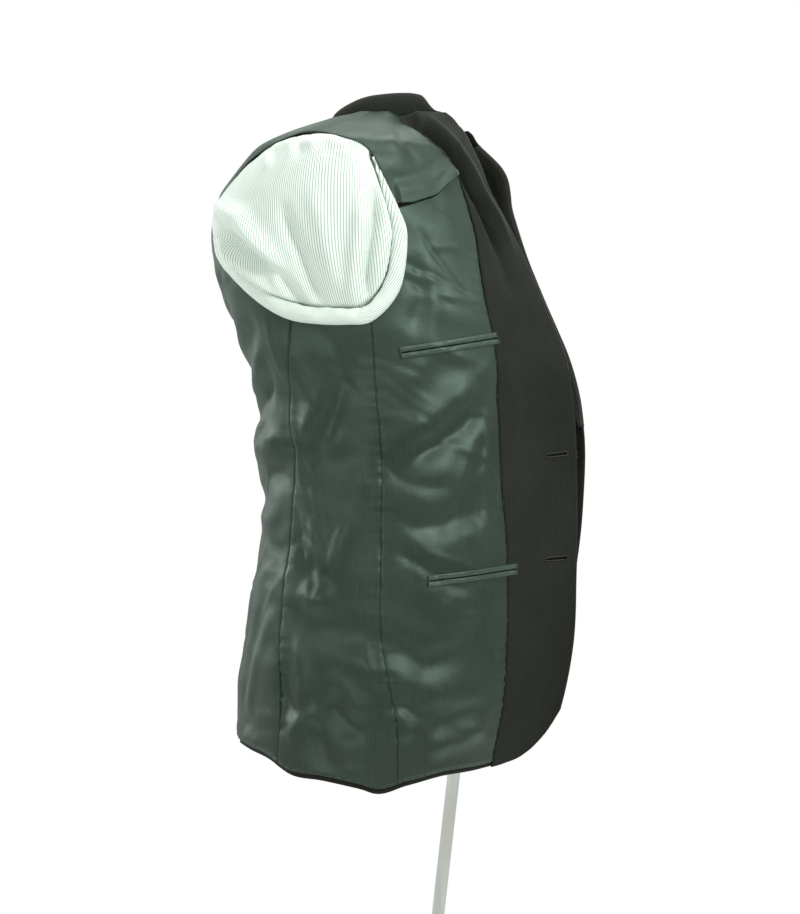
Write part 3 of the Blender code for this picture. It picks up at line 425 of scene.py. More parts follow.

# Main creases. Each is a rise, negative for a trough, a half width, and a route of
# (turn, height).
LEFT_CREASES = [
    (0.0044, 0.014, [(0.460, 1.204), (0.591, 1.181), (0.702, 1.164), (0.797, 1.149), (0.946, 1.122)]),
    (-0.0040, 0.009, [(0.474, 1.180), (0.582, 1.150), (0.719, 1.132), (0.860, 1.112)]),
    (0.0026, 0.010, [(0.459, 1.171), (0.588, 1.104), (0.683, 1.052)]),
    (-0.0022, 0.008, [(0.480, 1.150), (0.610, 1.082), (0.720, 1.030)]),
    (0.0018, 0.007, [(0.398, 1.214), (0.507, 1.200)]),
    (0.0022, 0.010, [(0.560, 1.330), (0.600, 1.270), (0.700, 1.215), (0.850, 1.190)]),
    (-0.0020, 0.008, [(0.600, 1.330), (0.640, 1.280), (0.760, 1.240)]),
    (-0.0042, 0.016, [(1.240, 0.957), (1.090, 0.941), (0.900, 0.921), (0.765, 0.904), (0.600, 0.917), (0.430, 0.945)]),
    (0.0056, 0.021, [(1.230, 0.922), (1.090, 0.912), (0.900, 0.892), (0.765, 0.873), (0.600, 0.887), (0.430, 0.914)]),
    (-0.0024, 0.008, [(0.900, 0.868), (0.765, 0.852), (0.600, 0.860)]),
    (-0.0022, 0.006, [(0.430, 1.170), (0.455, 1.110), (0.440, 1.050)]),
    (0.0024, 0.006, [(0.470, 1.160), (0.500, 1.100), (0.480, 1.040)]),
    (0.0030, 0.008, [(0.560, 0.984), (0.470, 0.976), (0.410, 0.962)]),
    (-0.0026, 0.007, [(0.540, 0.962), (0.460, 0.956), (0.410, 0.944)]),
    (0.0034, 0.010, [(0.880, 0.862), (0.840, 0.838), (0.800, 0.826)]),
    (0.0040, 0.012, [(1.300, 0.985), (1.220, 0.966), (1.140, 0.972)]),
    (-0.0034, 0.010, [(1.290, 1.010), (1.210, 0.990), (1.120, 0.998)]),
    (0.0048, 0.011, [(0.740, 0.814), (0.568, 0.824), (0.400, 0.836)]),
    (-0.0040, 0.010, [(0.760, 0.836), (0.600, 0.848), (0.420, 0.860)]),
    (-0.0030, 0.011, [(0.860, 1.042), (0.700, 1.052), (0.540, 1.062), (0.440, 1.078)]),
    (0.0034, 0.013, [(0.860, 1.018), (0.700, 1.028), (0.540, 1.040), (0.440, 1.054)]),
    (0.0032, 0.010, [(0.820, 0.985), (0.700, 0.966), (0.520, 0.972)]),
    (0.0046, 0.011, [(1.145, 0.896), (1.053, 0.876), (0.980, 0.850)]),
    (-0.0042, 0.010, [(1.160, 0.870), (1.080, 0.850), (1.010, 0.826)]),
    (0.0044, 0.009, [(1.296, 0.822), (1.231, 0.846), (1.150, 0.856)]),
    (-0.0046, 0.009, [(1.348, 0.906), (1.332, 0.860), (1.327, 0.823)]),
    (0.0046, 0.009, [(1.290, 0.935), (1.234, 0.890), (1.241, 0.830)]),
    (-0.0042, 0.009, [(1.262, 0.870), (1.118, 0.792)]),
    (0.0040, 0.009, [(1.066, 0.834), (1.031, 0.796)]),
    (0.0048, 0.012, [(1.060, 1.240), (1.130, 1.190), (1.240, 1.150), (1.330, 1.130)]),
    (-0.0044, 0.011, [(1.050, 1.210), (1.130, 1.160), (1.230, 1.120)]),
    (0.0040, 0.012, [(1.000, 1.120), (1.100, 1.060), (1.150, 0.990)]),
    (-0.0038, 0.012, [(1.040, 1.100), (1.150, 1.040), (1.210, 0.970)]),
    (0.0056, 0.020, [(1.310, 1.250), (1.230, 1.190), (1.200, 1.110)]),
    (0.0054, 0.019, [(1.110, 1.060), (1.170, 0.990), (1.190, 0.930)]),
    (0.0044, 0.012, [(1.260, 1.060), (1.200, 1.000), (1.220, 0.950)]),
    (0.0036, 0.010, [(1.420, 1.240), (1.560, 1.205), (1.760, 1.190), (1.980, 1.186)]),
    (-0.0036, 0.010, [(1.400, 1.212), (1.560, 1.178), (1.760, 1.160), (1.980, 1.158)]),
    (0.0030, 0.010, [(1.400, 1.145), (1.600, 1.128), (1.900, 1.130)]),
    (-0.0030, 0.009, [(1.420, 1.110), (1.620, 1.098), (1.880, 1.102)]),
    (0.0026, 0.011, [(1.440, 1.060), (1.660, 1.048), (1.900, 1.060)]),
    (0.0026, 0.012, [(1.450, 0.960), (1.560, 0.900), (1.600, 0.840)]),
    (-0.0024, 0.011, [(1.520, 0.980), (1.640, 0.910), (1.680, 0.840)]),
    (0.0024, 0.012, [(1.760, 0.990), (1.800, 0.900), (1.790, 0.830)]),
    (0.0024, 0.012, [(1.620, 1.330), (1.760, 1.290), (1.940, 1.280)]),
    (-0.0022, 0.011, [(1.620, 1.290), (1.780, 1.256), (1.950, 1.250)]),
    (0.0020, 0.010, [(1.640, 1.410), (1.760, 1.380), (1.920, 1.372)]),
    (-0.0013, 0.007, [(0.611, 1.465), (0.547, 1.444), (0.508, 1.428), (0.481, 1.417)]),
    (0.0009, 0.009, [(0.660, 1.462), (0.600, 1.440), (0.560, 1.420)]),
    (0.0008, 0.008, [(0.410, 1.448), (0.323, 1.437), (0.259, 1.425)]),
    (-0.0010, 0.007, [(0.669, 1.412), (0.598, 1.400), (0.429, 1.402), (0.249, 1.414)]),
]
RIGHT_CREASES = [
    (0.0046, 0.012, [(0.440, 1.190), (0.580, 1.172), (0.720, 1.150), (0.930, 1.128)]),
    (-0.0038, 0.010, [(0.460, 1.165), (0.600, 1.142), (0.740, 1.120), (0.880, 1.104)]),
    (0.0024, 0.010, [(0.480, 1.120), (0.620, 1.070), (0.760, 1.030)]),
    (-0.0022, 0.009, [(0.520, 1.096), (0.660, 1.040), (0.780, 1.006)]),
    (0.0024, 0.010, [(0.540, 1.320), (0.600, 1.262), (0.720, 1.220), (0.860, 1.205)]),
    (0.0034, 0.011, [(0.900, 0.905), (0.740, 0.884), (0.600, 0.886), (0.440, 0.905)]),
    (-0.0030, 0.010, [(0.880, 0.880), (0.720, 0.860), (0.560, 0.866), (0.450, 0.880)]),
    (0.0026, 0.010, [(0.800, 0.960), (0.640, 0.942), (0.470, 0.954)]),
    (0.0026, 0.010, [(1.150, 0.930), (1.070, 0.890), (0.990, 0.868)]),
    (-0.0026, 0.009, [(1.170, 0.900), (1.090, 0.860), (1.020, 0.838)]),
    (-0.0026, 0.009, [(1.330, 0.930), (1.310, 0.870), (1.320, 0.830)]),
    (0.0028, 0.010, [(1.070, 1.232), (1.160, 1.182), (1.300, 1.146)]),
    (-0.0026, 0.009, [(1.060, 1.200), (1.160, 1.152), (1.270, 1.118)]),
    (0.0022, 0.010, [(1.020, 1.090), (1.120, 1.030), (1.180, 0.960)]),
    (0.0034, 0.010, [(1.400, 1.222), (1.580, 1.200), (1.780, 1.196), (1.980, 1.186)]),
    (-0.0034, 0.010, [(1.420, 1.194), (1.600, 1.170), (1.780, 1.166), (1.980, 1.158)]),
    (0.0028, 0.010, [(1.420, 1.130), (1.640, 1.120), (1.920, 1.132)]),
    (-0.0028, 0.010, [(1.440, 1.096), (1.660, 1.088), (1.900, 1.100)]),
    (0.0024, 0.012, [(1.480, 0.970), (1.580, 0.900), (1.590, 0.830)]),
    (-0.0022, 0.011, [(1.560, 0.970), (1.660, 0.900), (1.680, 0.840)]),
    (0.0024, 0.012, [(1.640, 1.320), (1.780, 1.284), (1.940, 1.280)]),
    (-0.0022, 0.007, [(0.620, 1.462), (0.560, 1.440), (0.500, 1.418)]),
    (0.0018, 0.006, [(0.420, 1.446), (0.340, 1.434), (0.270, 1.424)]),
    (-0.0018, 0.006, [(0.660, 1.408), (0.560, 1.398), (0.420, 1.404)]),
]
# The roll line, and the slack where the lapel turns.
SHARED_CREASES = [
    (-0.0110, 0.0056, [(0.780, 1.484), (0.500, 1.475), (0.360, 1.463), (0.250, 1.445), (0.180, 1.415),
                       (0.150, 1.385), (0.140, 1.350), (0.150, 1.310)]),
    (-0.0032, 0.0210, [(0.240, 1.456), (0.500, 1.457), (0.800, 1.456)]),
    (0.0048, 0.0085, [(0.500, 1.484), (0.300, 1.468), (0.165, 1.445), (0.085, 1.412), (0.055, 1.375),
                      (0.060, 1.320)]),
    (0.0014, 0.012, [(0.060, 1.300), (0.070, 1.200), (0.050, 1.100)]),
    (-0.0014, 0.012, [(0.240, 1.250), (0.260, 1.150), (0.230, 1.040)]),
    (0.0012, 0.014, [(0.150, 0.980), (0.190, 0.900), (0.180, 0.840)]),
]
CREASES = {"left": LEFT_CREASES, "right": RIGHT_CREASES}

# Folds of the full sleeve head that shows in the armhole.
LEFT_SLEEVE_CREASES = [
    (-0.0115, 0.0055, [(0.740, 1.395), (0.766, 1.358), (0.831, 1.313), (0.885, 1.272)]),
    (0.0074, 0.0080, [(0.810, 1.390), (0.840, 1.350), (0.900, 1.300), (0.940, 1.265)]),
    (0.0135, 0.0110, [(1.540, 1.384), (1.300, 1.362), (1.190, 1.325), (1.140, 1.267)]),
    (-0.0135, 0.0078, [(1.480, 1.355), (1.290, 1.335), (1.165, 1.305), (1.110, 1.262)]),
    (0.0100, 0.0085, [(1.460, 1.342), (1.330, 1.316), (1.240, 1.290), (1.200, 1.270)]),
    (-0.0095, 0.0068, [(1.122, 1.380), (1.060, 1.325), (1.040, 1.268)]),
    (0.0042, 0.0090, [(1.010, 1.400), (0.970, 1.340), (0.965, 1.275)]),
    (0.0024, 0.0060, [(1.223, 1.448), (1.165, 1.437), (1.109, 1.425)]),
    (0.0020, 0.0055, [(1.075, 1.448), (1.035, 1.438), (1.001, 1.424)]),
    (-0.0020, 0.0050, [(0.990, 1.446), (0.955, 1.434), (0.940, 1.420)]),
    (0.0024, 0.0050, [(0.911, 1.444), (0.880, 1.434), (0.869, 1.420)]),
    (-0.0020, 0.0060, [(1.160, 1.446), (1.110, 1.436), (1.060, 1.420)]),
    (0.0024, 0.0060, [(1.326, 1.432), (1.270, 1.424), (1.219, 1.412)]),
    (-0.0020, 0.0060, [(1.290, 1.440), (1.240, 1.428), (1.180, 1.416)]),
]
RIGHT_SLEEVE_CREASES = [
    (-0.0054, 0.0060, [(0.760, 1.400), (0.790, 1.350), (0.850, 1.300), (0.880, 1.272)]),
    (0.0051, 0.0090, [(0.830, 1.400), (0.870, 1.345), (0.930, 1.290)]),
    (0.0069, 0.0120, [(1.520, 1.376), (1.320, 1.350), (1.200, 1.310), (1.160, 1.268)]),
    (-0.0066, 0.0080, [(1.470, 1.346), (1.300, 1.322), (1.180, 1.290)]),
    (-0.0045, 0.0070, [(1.090, 1.390), (1.050, 1.330), (1.060, 1.270)]),
    (0.0039, 0.0080, [(0.990, 1.410), (0.980, 1.350), (1.000, 1.280)]),
    (0.0039, 0.0060, [(1.200, 1.446), (1.150, 1.434), (1.100, 1.422)]),
    (0.0033, 0.0055, [(1.040, 1.448), (1.010, 1.436), (0.980, 1.424)]),
    (-0.0033, 0.0055, [(0.940, 1.444), (0.920, 1.430)]),
    (0.0036, 0.0060, [(1.350, 1.430), (1.300, 1.420), (1.240, 1.408)]),
]
SLEEVE_CREASES = {"left": LEFT_SLEEVE_CREASES, "right": RIGHT_SLEEVE_CREASES}


def smooth_rows(rows, at):
    """The table's row at one place, by a smooth curve through its rows. The first column is the place."""
    places = rows[:, 0]
    at = np.clip(at, places[0], places[-1])
    row = np.clip(np.searchsorted(places, at) - 1, 0, len(places) - 2)
    slopes = np.gradient(rows, places, axis=0)
    step = (places[row + 1] - places[row])[..., None]
    t = ((at - places[row]) / (places[row + 1] - places[row]))[..., None]
    low, high = rows[row], rows[row + 1]
    return (
        (2 * t**3 - 3 * t**2 + 1) * low
        + (t**3 - 2 * t**2 + t) * step * slopes[row]
        + (3 * t**2 - 2 * t**3) * high
        + (t**3 - t**2) * step * slopes[row + 1]
    )


def soft_step(t):
    """From 0 to 1, level at both ends."""
    t = np.clip(t, 0.0, 1.0)
    return t * t * (3 - 2 * t)


def fade(value, edge, width):
    """1 below an edge, and softly down to 0 at it over a width."""
    return soft_step((edge - value) / width)


def blend(low, high, share):
    """low at a share of 0, and high at 1."""
    return low + (high - low) * share


def unit(vectors):
    return vectors / np.linalg.norm(vectors, axis=-1, keepdims=True)


def through_four(before, start, end, after, t):
    """The smooth curve from start to end, aimed by the points before and after them."""
    return 0.5 * (
        2 * start
        + (end - before) * t
        + (2 * before - 5 * start + 4 * end - after) * t**2
        + (3 * start - before - 3 * end + after) * t**3
    )


def points(*parts):
    return np.stack(np.broadcast_arrays(*parts), axis=-1)


def bezier(start, handle, far_handle, end, t):
    t = t[..., None]
    return (1 - t) ** 3 * start + 3 * (1 - t) ** 2 * t * handle + 3 * (1 - t) * t**2 * far_handle + t**3 * end


def body(turn, height):
    """The jacket body on the +X side, with no folds."""
    turn, height = np.broadcast_arrays(np.asarray(turn, float), np.asarray(height, float))
    _, edge_x, edge_y, angle, side_x, side_y, back_y, full = np.moveaxis(smooth_rows(SECTIONS, height), -1, 0)
    reach = side_y - edge_y
    lean = np.radians(angle)
    side = points(side_x, side_y)
    front = bezier(
        points(edge_x, edge_y),
        points(edge_x + EDGE_FULLNESS * reach * np.sin(lean), edge_y + EDGE_FULLNESS * reach * np.cos(lean)),
        points(side_x, side_y - SIDE_FULLNESS * reach),
        side,
        np.clip(turn, 0, 1),
    )
    back = bezier(
        side,
        points(side_x, side_y + full * (back_y - side_y)),
        points(full * side_x, back_y),
        points(0 * side_x, back_y),
        np.clip(turn - 1, 0, 1),
    )
    level = np.where((turn < 1)[..., None], front, back)
    return np.concatenate([level, height[..., None]], axis=-1)


def fold_depth(turn, height, folds):
    """How far the troughs of a table draw the cloth in at a place."""
    depth = np.zeros(np.broadcast(turn, height).shape)
    for start, low, end, high, deep, wide in folds:
        along = np.array([(end - start) * TURN_LENGTH, high - low])
        dx = (turn - start) * TURN_LENGTH
        dz = height - low
        share = (dx * along[0] + dz * along[1]) / (along @ along)
        across = np.abs(dx * along[1] - dz * along[0]) / math.hypot(*along)
        past = np.maximum(np.maximum(-share, share - 1), 0) * math.hypot(*along)
        depth += deep * np.exp(-((across / wide) ** 2) - (past / wide) ** 2)
    return depth


def turn_for(distance, height, near_turn=0.5):
    """The turn that a distance along the cloth takes, at a height."""
    small = 0.01
    reach = body(near_turn + small, height) - body(near_turn - small, height)
    return distance * 2 * small / np.linalg.norm(reach, axis=-1)


def armhole(row):
    """(turn, height) of the armhole at a fractional row of its table, which closes on itself."""
    row = np.asarray(row, float)
    first = np.floor(row).astype(int)
    four = (ARMHOLE[(first + step) % len(ARMHOLE)] for step in (-1, 0, 1, 2))
    place = through_four(*four, (row - first)[..., None])
    return place[..., 0], place[..., 1]


def armhole_turn(height, first_row, last_row):
    """The armhole's turn at a height, along one of its sides."""
    turns, heights = armhole(np.linspace(first_row, last_row, 200))
    order = np.argsort(heights)
    return np.interp(height, heights[order], turns[order])


def table_at(table, place):
    """The second column of a table at a place in its first."""
    return smooth_rows(table, np.asarray(place, float))[..., 1]


def at_seam(seam):
    """A panel's edge along a seam."""
    return lambda height: table_at(seam, height)


def panel_edge(height, seam, underarm_row, tip_row):
    """A panel's edge up its seam, then the armhole to the shoulder tip, then the shoulder seam."""
    hole = armhole_turn(height, *sorted((underarm_row, tip_row)))
    edge = np.where(height < ARMHOLE[underarm_row, 1], table_at(seam, height), hole)
    return np.where(height > ARMHOLE[0, 1], 1.0, edge)


def front_panel_turn(height):
    """The back edge of the front lining."""
    return panel_edge(height, FRONT_SIDE_SEAM, UNDERARM_FRONT_ROW, 0)


def back_panel_turn(height):
    """The front edge of the back lining."""
    return panel_edge(height, SIDE_BACK_SEAM, UNDERARM_BACK_ROW, len(ARMHOLE))


def edge_gap(edge, height):
    """Half the seam gap as a turn, widened where the edge runs nearly level."""
    small = 0.001
    slope = (edge(height + small) - edge(height - small)) / (2 * small) * TURN_LENGTH
    return turn_for(SEAM_GAP / 2, height) * np.minimum(np.hypot(1, slope), STEEPEST_EDGE)


def row_shift(turn, level):
    """Bends a level row to the hem, the underarm and the pleat. Every panel uses it, so edges meet."""
    hem = soft_step(1 - (level - LINING_LEVEL) / HEM_BEND)
    turns, heights = armhole(np.linspace(UNDERARM_FRONT_ROW, UNDERARM_BACK_ROW, 80))
    underarm = soft_step((level - UNDERARM_BEND) / (UNDERARM_LEVEL - UNDERARM_BEND))
    underarm = underarm * soft_step((PLEAT_LEVEL - level) / (PLEAT_LEVEL - UNDERARM_LEVEL))
    shift = (table_at(HEM, turn) - HEM_LEVEL) * hem
    return shift + (np.interp(turn, turns, heights) - UNDERARM_LEVEL) * underarm


def front_shift(turn, level):
    """As row_shift, with the rows of the front bent to the pleat too."""
    pleat = soft_step((level - UNDERARM_LEVEL) / (PLEAT_LEVEL - UNDERARM_LEVEL))
    pleat = pleat * soft_step((SHOULDER_LEVEL - level) / (SHOULDER_LEVEL - PLEAT_LEVEL))
    return row_shift(turn, level) + (table_at(PLEAT, turn) - PLEAT_LEVEL) * pleat


def crease_share(turn, height, route, width):
    """How close a place is to a crease's route: 1 on it, less beside it and towards its ends."""
    spots = points(np.asarray(turn) * TURN_LENGTH, height)
    line = np.array(route) * (TURN_LENGTH, 1.0)
    lengths = np.linalg.norm(np.diff(line, axis=0), axis=1)
    total = lengths.sum()
    nearest = np.full(spots.shape[:-1], np.inf)
    place = np.zeros(spots.shape[:-1])
    for start, end, length, before in zip(line, line[1:], lengths, np.cumsum(lengths) - lengths):
        share = np.clip((spots - start) @ (end - start) / length**2, 0, 1)
        apart = np.linalg.norm(spots - start - share[..., None] * (end - start), axis=-1)
        closer = apart < nearest
        nearest = np.where(closer, apart, nearest)
        place = np.where(closer, before + share * length, place)
    from_end = np.minimum(place, total - place)
    return np.exp(-((nearest / width) ** 2)) * soft_step(CREASE_END + from_end / (CREASE_GROWTH * total))


def crease_rise(turn, height, creases):
    """How far a table of creases lifts the cloth at a place. A negative rise is a trough."""
    rise = np.zeros(np.broadcast(turn, height).shape)
    for lift, width, route in creases:
        rise += lift * crease_share(turn, height, route, width)
    return rise


def strewn_creases(seed, count, turns, heights, lean):
    """Small creases over an area, the same in each run. lean is their mean slope, in degrees."""
    draw = np.random.default_rng(seed)
    lean_spread, bend_spread = 15, 0.14
    reaches, lifts, widths = (0.020, 0.060), (0.0005, 0.0016), (0.0030, 0.0066)
    made = []
    for _ in range(count):
        turn, height = draw.uniform(*turns), draw.uniform(*heights)
        angle = np.radians(draw.normal(lean, lean_spread))
        bend = draw.normal(0, bend_spread)
        reach = draw.uniform(*reaches)
        lift = draw.choice((-1, 1)) * draw.uniform(*lifts)
        route = [
            (turn + step * reach * math.cos(angle + step * bend) / TURN_LENGTH,
             height + step * reach * math.sin(angle + step * bend))
            for step in (-1, -0.3, 0.4, 1)
        ]
        made.append((lift, draw.uniform(*widths), route))
    return made


def seam_rise(turn, height):
    """The dip along each body seam, and the small puckers that its stitches draw."""
    rise = np.zeros(np.broadcast(turn, height).shape)
    low = fade(height, UNDERARM_LEVEL + 0.004, 0.008)
    # Each seam's turn, how much of it there is at this height, and how strongly it puckers.
    seams = (
        (table_at(FACING_SEAM, height), fade(height, NECK_HEIGHT, 0.02), 0.9),
        (table_at(FRONT_SIDE_SEAM, height), low, 1.3),
        (table_at(SIDE_BACK_SEAM, height), low, 0.8),
        (2.0, 1.0, 0.8),
    )
    pull = 1 + HEM_PULL * np.exp(-(((height - HEM_PULL_HEIGHT) / HEM_PULL_REACH) ** 2))
    for number, (seam, share, pucker) in enumerate(seams):
        apart = np.abs(turn - seam) * TURN_LENGTH
        wave = sum(part * np.sin(height * rate + shift * number) for part, rate, shift in PUCKER_WAVES)
        rise = rise - share * SEAM_DIP * np.exp(-((apart / SEAM_DIP_WIDTH) ** 2))
        rise = rise + share * pucker * pull * SEAM_PUCKER * wave * np.exp(-apart / PUCKER_REACH)
    return rise


def ease(turn, height, side):
    """Slow swells of cloth that hangs free, less in the wool of the facing."""
    free = blend(0.25, 1, soft_step((turn - table_at(FACING_SEAM, height)) / 0.10))
    swell = np.sin(turn * 9.1 + height * 31 + side) * np.sin(height * 47 - turn * 5.3 + 2 * side)
    swell = swell + 0.6 * np.sin(turn * 17.3 - height * 58 + 3 * side) * np.sin(turn * 6.1 + height * 83)
    return EASE_SWELL * free * swell


def cloth_rise(turn, height, side):
    """Everything that lifts or draws in the jacket's cloth, on top of the body's own form."""
    word = SIDE_WORDS[side]
    lining = soft_step(0.15 + (turn - table_at(FACING_SEAM, height)) / 0.05)
    folds = crease_rise(turn, height, CREASES[word] + SHARED_CREASES)
    small = crease_rise(turn, height, SMALL_CREASES[word]) * lining
    deep = fold_depth(turn, height, LAPEL_FOLDS) + fold_depth(turn, height, FOLDS[word])
    return folds + small + seam_rise(turn, height) + ease(turn, height, side) - deep


SMALL_CREASES = {
    word: strewn_creases(seed, 46, (0.36, 0.95), (0.81, 1.37), 28)
    + strewn_creases(seed + 1, 40, (0.95, 1.36), (0.81, 1.25), 68)
    + strewn_creases(seed + 2, 46, (1.36, 1.98), (0.82, 1.45), -12)
    for word, seed in (("left", 11), ("right", 31))
}


def cloth(turn, height, out=0.0, side=RIGHT, folds=True):
    """Points of the jacket body, with its folds, moved out from it by a distance."""
    turn, height, out = np.broadcast_arrays(*(np.asarray(part, float) for part in (turn, height, out)))
    small_turn, small_height = 0.004, 0.0015
    turn_in = np.clip(turn, small_turn, 2 - small_turn)
    height_in = np.clip(height, SECTIONS[0, 0] + small_height, SECTIONS[-1, 0] - small_height)
    across = body(turn_in + small_turn, height_in) - body(turn_in - small_turn, height_in)
    upward = body(turn_in, height_in + small_height) - body(turn_in, height_in - small_height)
    if folds:
        out = out + cloth_rise(turn, height, side)
    result = body(turn, height) + unit(np.cross(across, upward)) * out[..., None]
    if side == RIGHT:
        result[..., 1] -= table_at(RIGHT_SWING, height) * fade(turn, SWING_TURN, SWING_TURN)
    result[..., 0] *= side
    return result


def bare_cloth(turn, height, out=0.0):
    """As cloth, on the +X side and with no folds."""
    return cloth(turn, height, out, folds=False)


def between_rows(made, at):
    """Points on smooth curves through rows of points. at is a fractional row for each column."""
    count, columns = len(made), np.arange(made.shape[1])
    first = np.clip(np.floor(at).astype(int), 0, count - 2)
    four = (made[np.clip(first + step, 0, count - 1), columns] for step in (-1, 0, 1, 2))
    return through_four(*four, (at - first)[..., None])


def running_lengths(spots, axis):
    """Distance along a grid of points from its first row or column."""
    steps = np.linalg.norm(np.diff(spots, axis=axis), axis=-1)
    return np.concatenate([np.zeros_like(np.take(steps, [0], axis=axis)), np.cumsum(steps, axis=axis)], axis=axis)


def grid_mesh(name, spots, marks, flip=False, around=False):
    """A mesh of quads through a grid of points, with a mark of (u, v) metres at each point as its UV map."""
    rows, columns = spots.shape[:2]
    number = np.arange(rows * columns).reshape(rows, columns)
    if around:
        number = np.concatenate([number, number[:, :1]], axis=1)
    low, high = number[:-1], number[1:]
    quads = np.stack([low[:, :-1], low[:, 1:], high[:, 1:], high[:, :-1]], axis=-1).reshape(-1, 4)
    if flip:
        quads = quads[:, ::-1]
    mesh = bpy.data.meshes.new(name)
    mesh.from_pydata(spots.reshape(-1, 3).tolist(), [], quads.tolist())
    layer = mesh.uv_layers.new(name="UVMap")
    layer.data.foreach_set("uv", marks.reshape(-1, 2)[quads.ravel()].astype(np.float32).ravel())
    mesh.shade_smooth()
    return mesh


def show(mesh, finish, *nodes, wall=0.0, offset=1.0):
    """Makes a mesh a piece on the body, with its finish and wall, in place of the CAD nodes that it stands for."""
    item = bpy.data.objects.new(mesh.name, mesh)
    if wall:
        shell = item.modifiers.new("wall", "SOLIDIFY")
        shell.thickness = wall
        shell.offset = offset
    bpy.context.scene.collection.objects.link(item)
    item.data.materials.append(finish)
    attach(item, "root")
    if nodes:
        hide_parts(*nodes)
    return item


def cloth_piece(node, place, across, up, wall, finish, side=RIGHT, offset=-1.0, slant=0.0, even=False):
    """A sheet of cloth in place of a CAD node. place(u, v) takes 0 to 1 both ways.

    Its UV map runs in metres across and along the cloth. even keeps every row's width the same, as in
    gathered cloth, and slant turns the threads across a roll.
    """
    u, v = np.meshgrid(np.linspace(0, 1, across + 1), np.linspace(0, 1, up + 1))
    spots = place(u.ravel(), v.ravel()).reshape(up + 1, across + 1, 3) + JACKET_PLACE
    wide, tall = running_lengths(spots, 1), running_lengths(spots, 0)
    if even:
        wide = u * wide[int(EVEN_ROW * up), -1]
    marks = np.stack([wide + slant * tall, tall], axis=-1)
    mesh = grid_mesh(f"{node}_cloth", spots, marks, side == LEFT)
    item = show(mesh, finish, node, wall=wall, offset=offset)
    return item


def seam_side(edge, height, tuck):
    """How far a panel stops short of its seam, as a turn. One that is tucked under reaches past it."""
    return -turn_for(TUCK_LAP, height) if tuck else edge_gap(edge, height)


def panel_place(levels, start_turn, end_turn, side, shift, out=None, start_tuck=0.0, end_tuck=0.0):
    """A panel between two seams. levels are its row heights and shift bends each row.

    A tuck is how deep an edge dips to pass under its neighbour.
    """
    levels = np.asarray(levels, float)

    def place(u, v):
        level = np.interp(v * (len(levels) - 1), np.arange(len(levels)), levels)
        height = level
        for _ in range(8):
            first = start_turn(height) + seam_side(start_turn, height, start_tuck)
            last = end_turn(height) - seam_side(end_turn, height, end_tuck)
            turn = first + (last - first) * u
            height = level + shift(turn, level)
        lift = 0.0 if out is None else out(turn, height)
        lift = lift - start_tuck * soft_step(1 - (turn - start_turn(height)) / TUCK_TURN)
        lift = lift - end_tuck * soft_step(1 - (end_turn(height) - turn) / TUCK_TURN)
        return cloth(turn, height, lift, side)

    return place


def make_facing(side, word, finishes):
    levels = (HEM_LEVEL,) + LOW_LEVELS + CHEST_LEVELS + SHOULDER_LEVELS
    place = panel_place(levels, lambda h: 0 * h, lambda h: table_at(FACING_SEAM, h) - FACING_EASE, side, front_shift)
    cloth_piece(f"facing_{word}", place, 30, 190, WOOL_WALL, finishes["wool"], side)


def make_front_lining(side, word, finishes):
    levels = LOW_LEVELS + CHEST_LEVELS + SHOULDER_LEVELS[:2]
    place = panel_place(
        levels, at_seam(FACING_SEAM), front_panel_turn, side, front_shift, start_tuck=UNDER_WOOL
    )
    cloth_piece(f"front_lining_{word}", place, 46, 176, SATIN_WALL, finishes["satin"], side)


def make_yoke_lining(side, word, finishes):
    """The short lining above the chest pleat. Its lower lip lies over the front lining and gapes at the facing."""

    def lapped(turn):
        return fade(turn, *LIP_TURN)

    def shift(turn, level):
        lifted = np.clip((SHOULDER_LEVELS[2] - level) / (SHOULDER_LEVELS[2] - SHOULDER_LEVELS[0]), 0, 1)
        raised = PLEAT_CORNER * (1 - lapped(turn)) + PLEAT_RAISE * lapped(turn)
        return front_shift(turn, level) + raised * lifted

    def lip(turn, height):
        above = height - table_at(PLEAT, turn)
        near = fade(above, *LIP_HEIGHT) * soft_step(lapped(turn) / 0.2)
        mouth = fade(turn, *MOUTH_TURN) * fade(above, *MOUTH_HEIGHT)
        caught = blend(0.25, 1, soft_step((turn - table_at(FACING_SEAM, height)) / 0.05))
        return (PLEAT_LIFT * near + PLEAT_MOUTH * mouth) * caught

    place = panel_place(SHOULDER_LEVELS, at_seam(FACING_SEAM), front_panel_turn, side, shift, lip)
    cloth_piece(f"front_yoke_lining_{word}", place, 52, 60, SATIN_WALL, finishes["satin"], side)


def make_side_lining(side, word, finishes):
    place = panel_place(
        LOW_LEVELS, at_seam(FRONT_SIDE_SEAM), at_seam(SIDE_BACK_SEAM), side, row_shift,
        start_tuck=UNDER_SATIN, end_tuck=UNDER_SATIN,
    )
    cloth_piece(f"side_lining_{word}", place, 34, 128, SATIN_WALL, finishes["satin"], side)


def make_back_lining(side, word, finishes):
    levels = LOW_LEVELS + CHEST_LEVELS + SHOULDER_LEVELS
    place = panel_place(levels, back_panel_turn, lambda h: 2 + 0 * h, side, row_shift)
    cloth_piece(f"back_lining_{word}", place, 54, 190, SATIN_WALL, finishes["satin"], side)


def make_hem_band(side, word, finishes):
    """The turned-up wool below the lining, folded under at the bottom."""
    profile = np.array(HEM_PROFILE)[::-1]
    first = table_at(FACING_SEAM, HEM_LEVEL) - HEM_LAP
    last = 2 - turn_for(SEAM_GAP / 2, HEM_LEVEL, 1.9)

    def place(u, v):
        row = v * (len(profile) - 1)
        rise, outward = (np.interp(row, np.arange(len(profile)), column) for column in profile.T)
        turn = blend(first, last, u)
        return cloth(turn, table_at(HEM, turn) + rise, outward, side)

    cloth_piece(f"hem_{word}", place, 130, 16, WOOL_WALL, finishes["wool"], side)


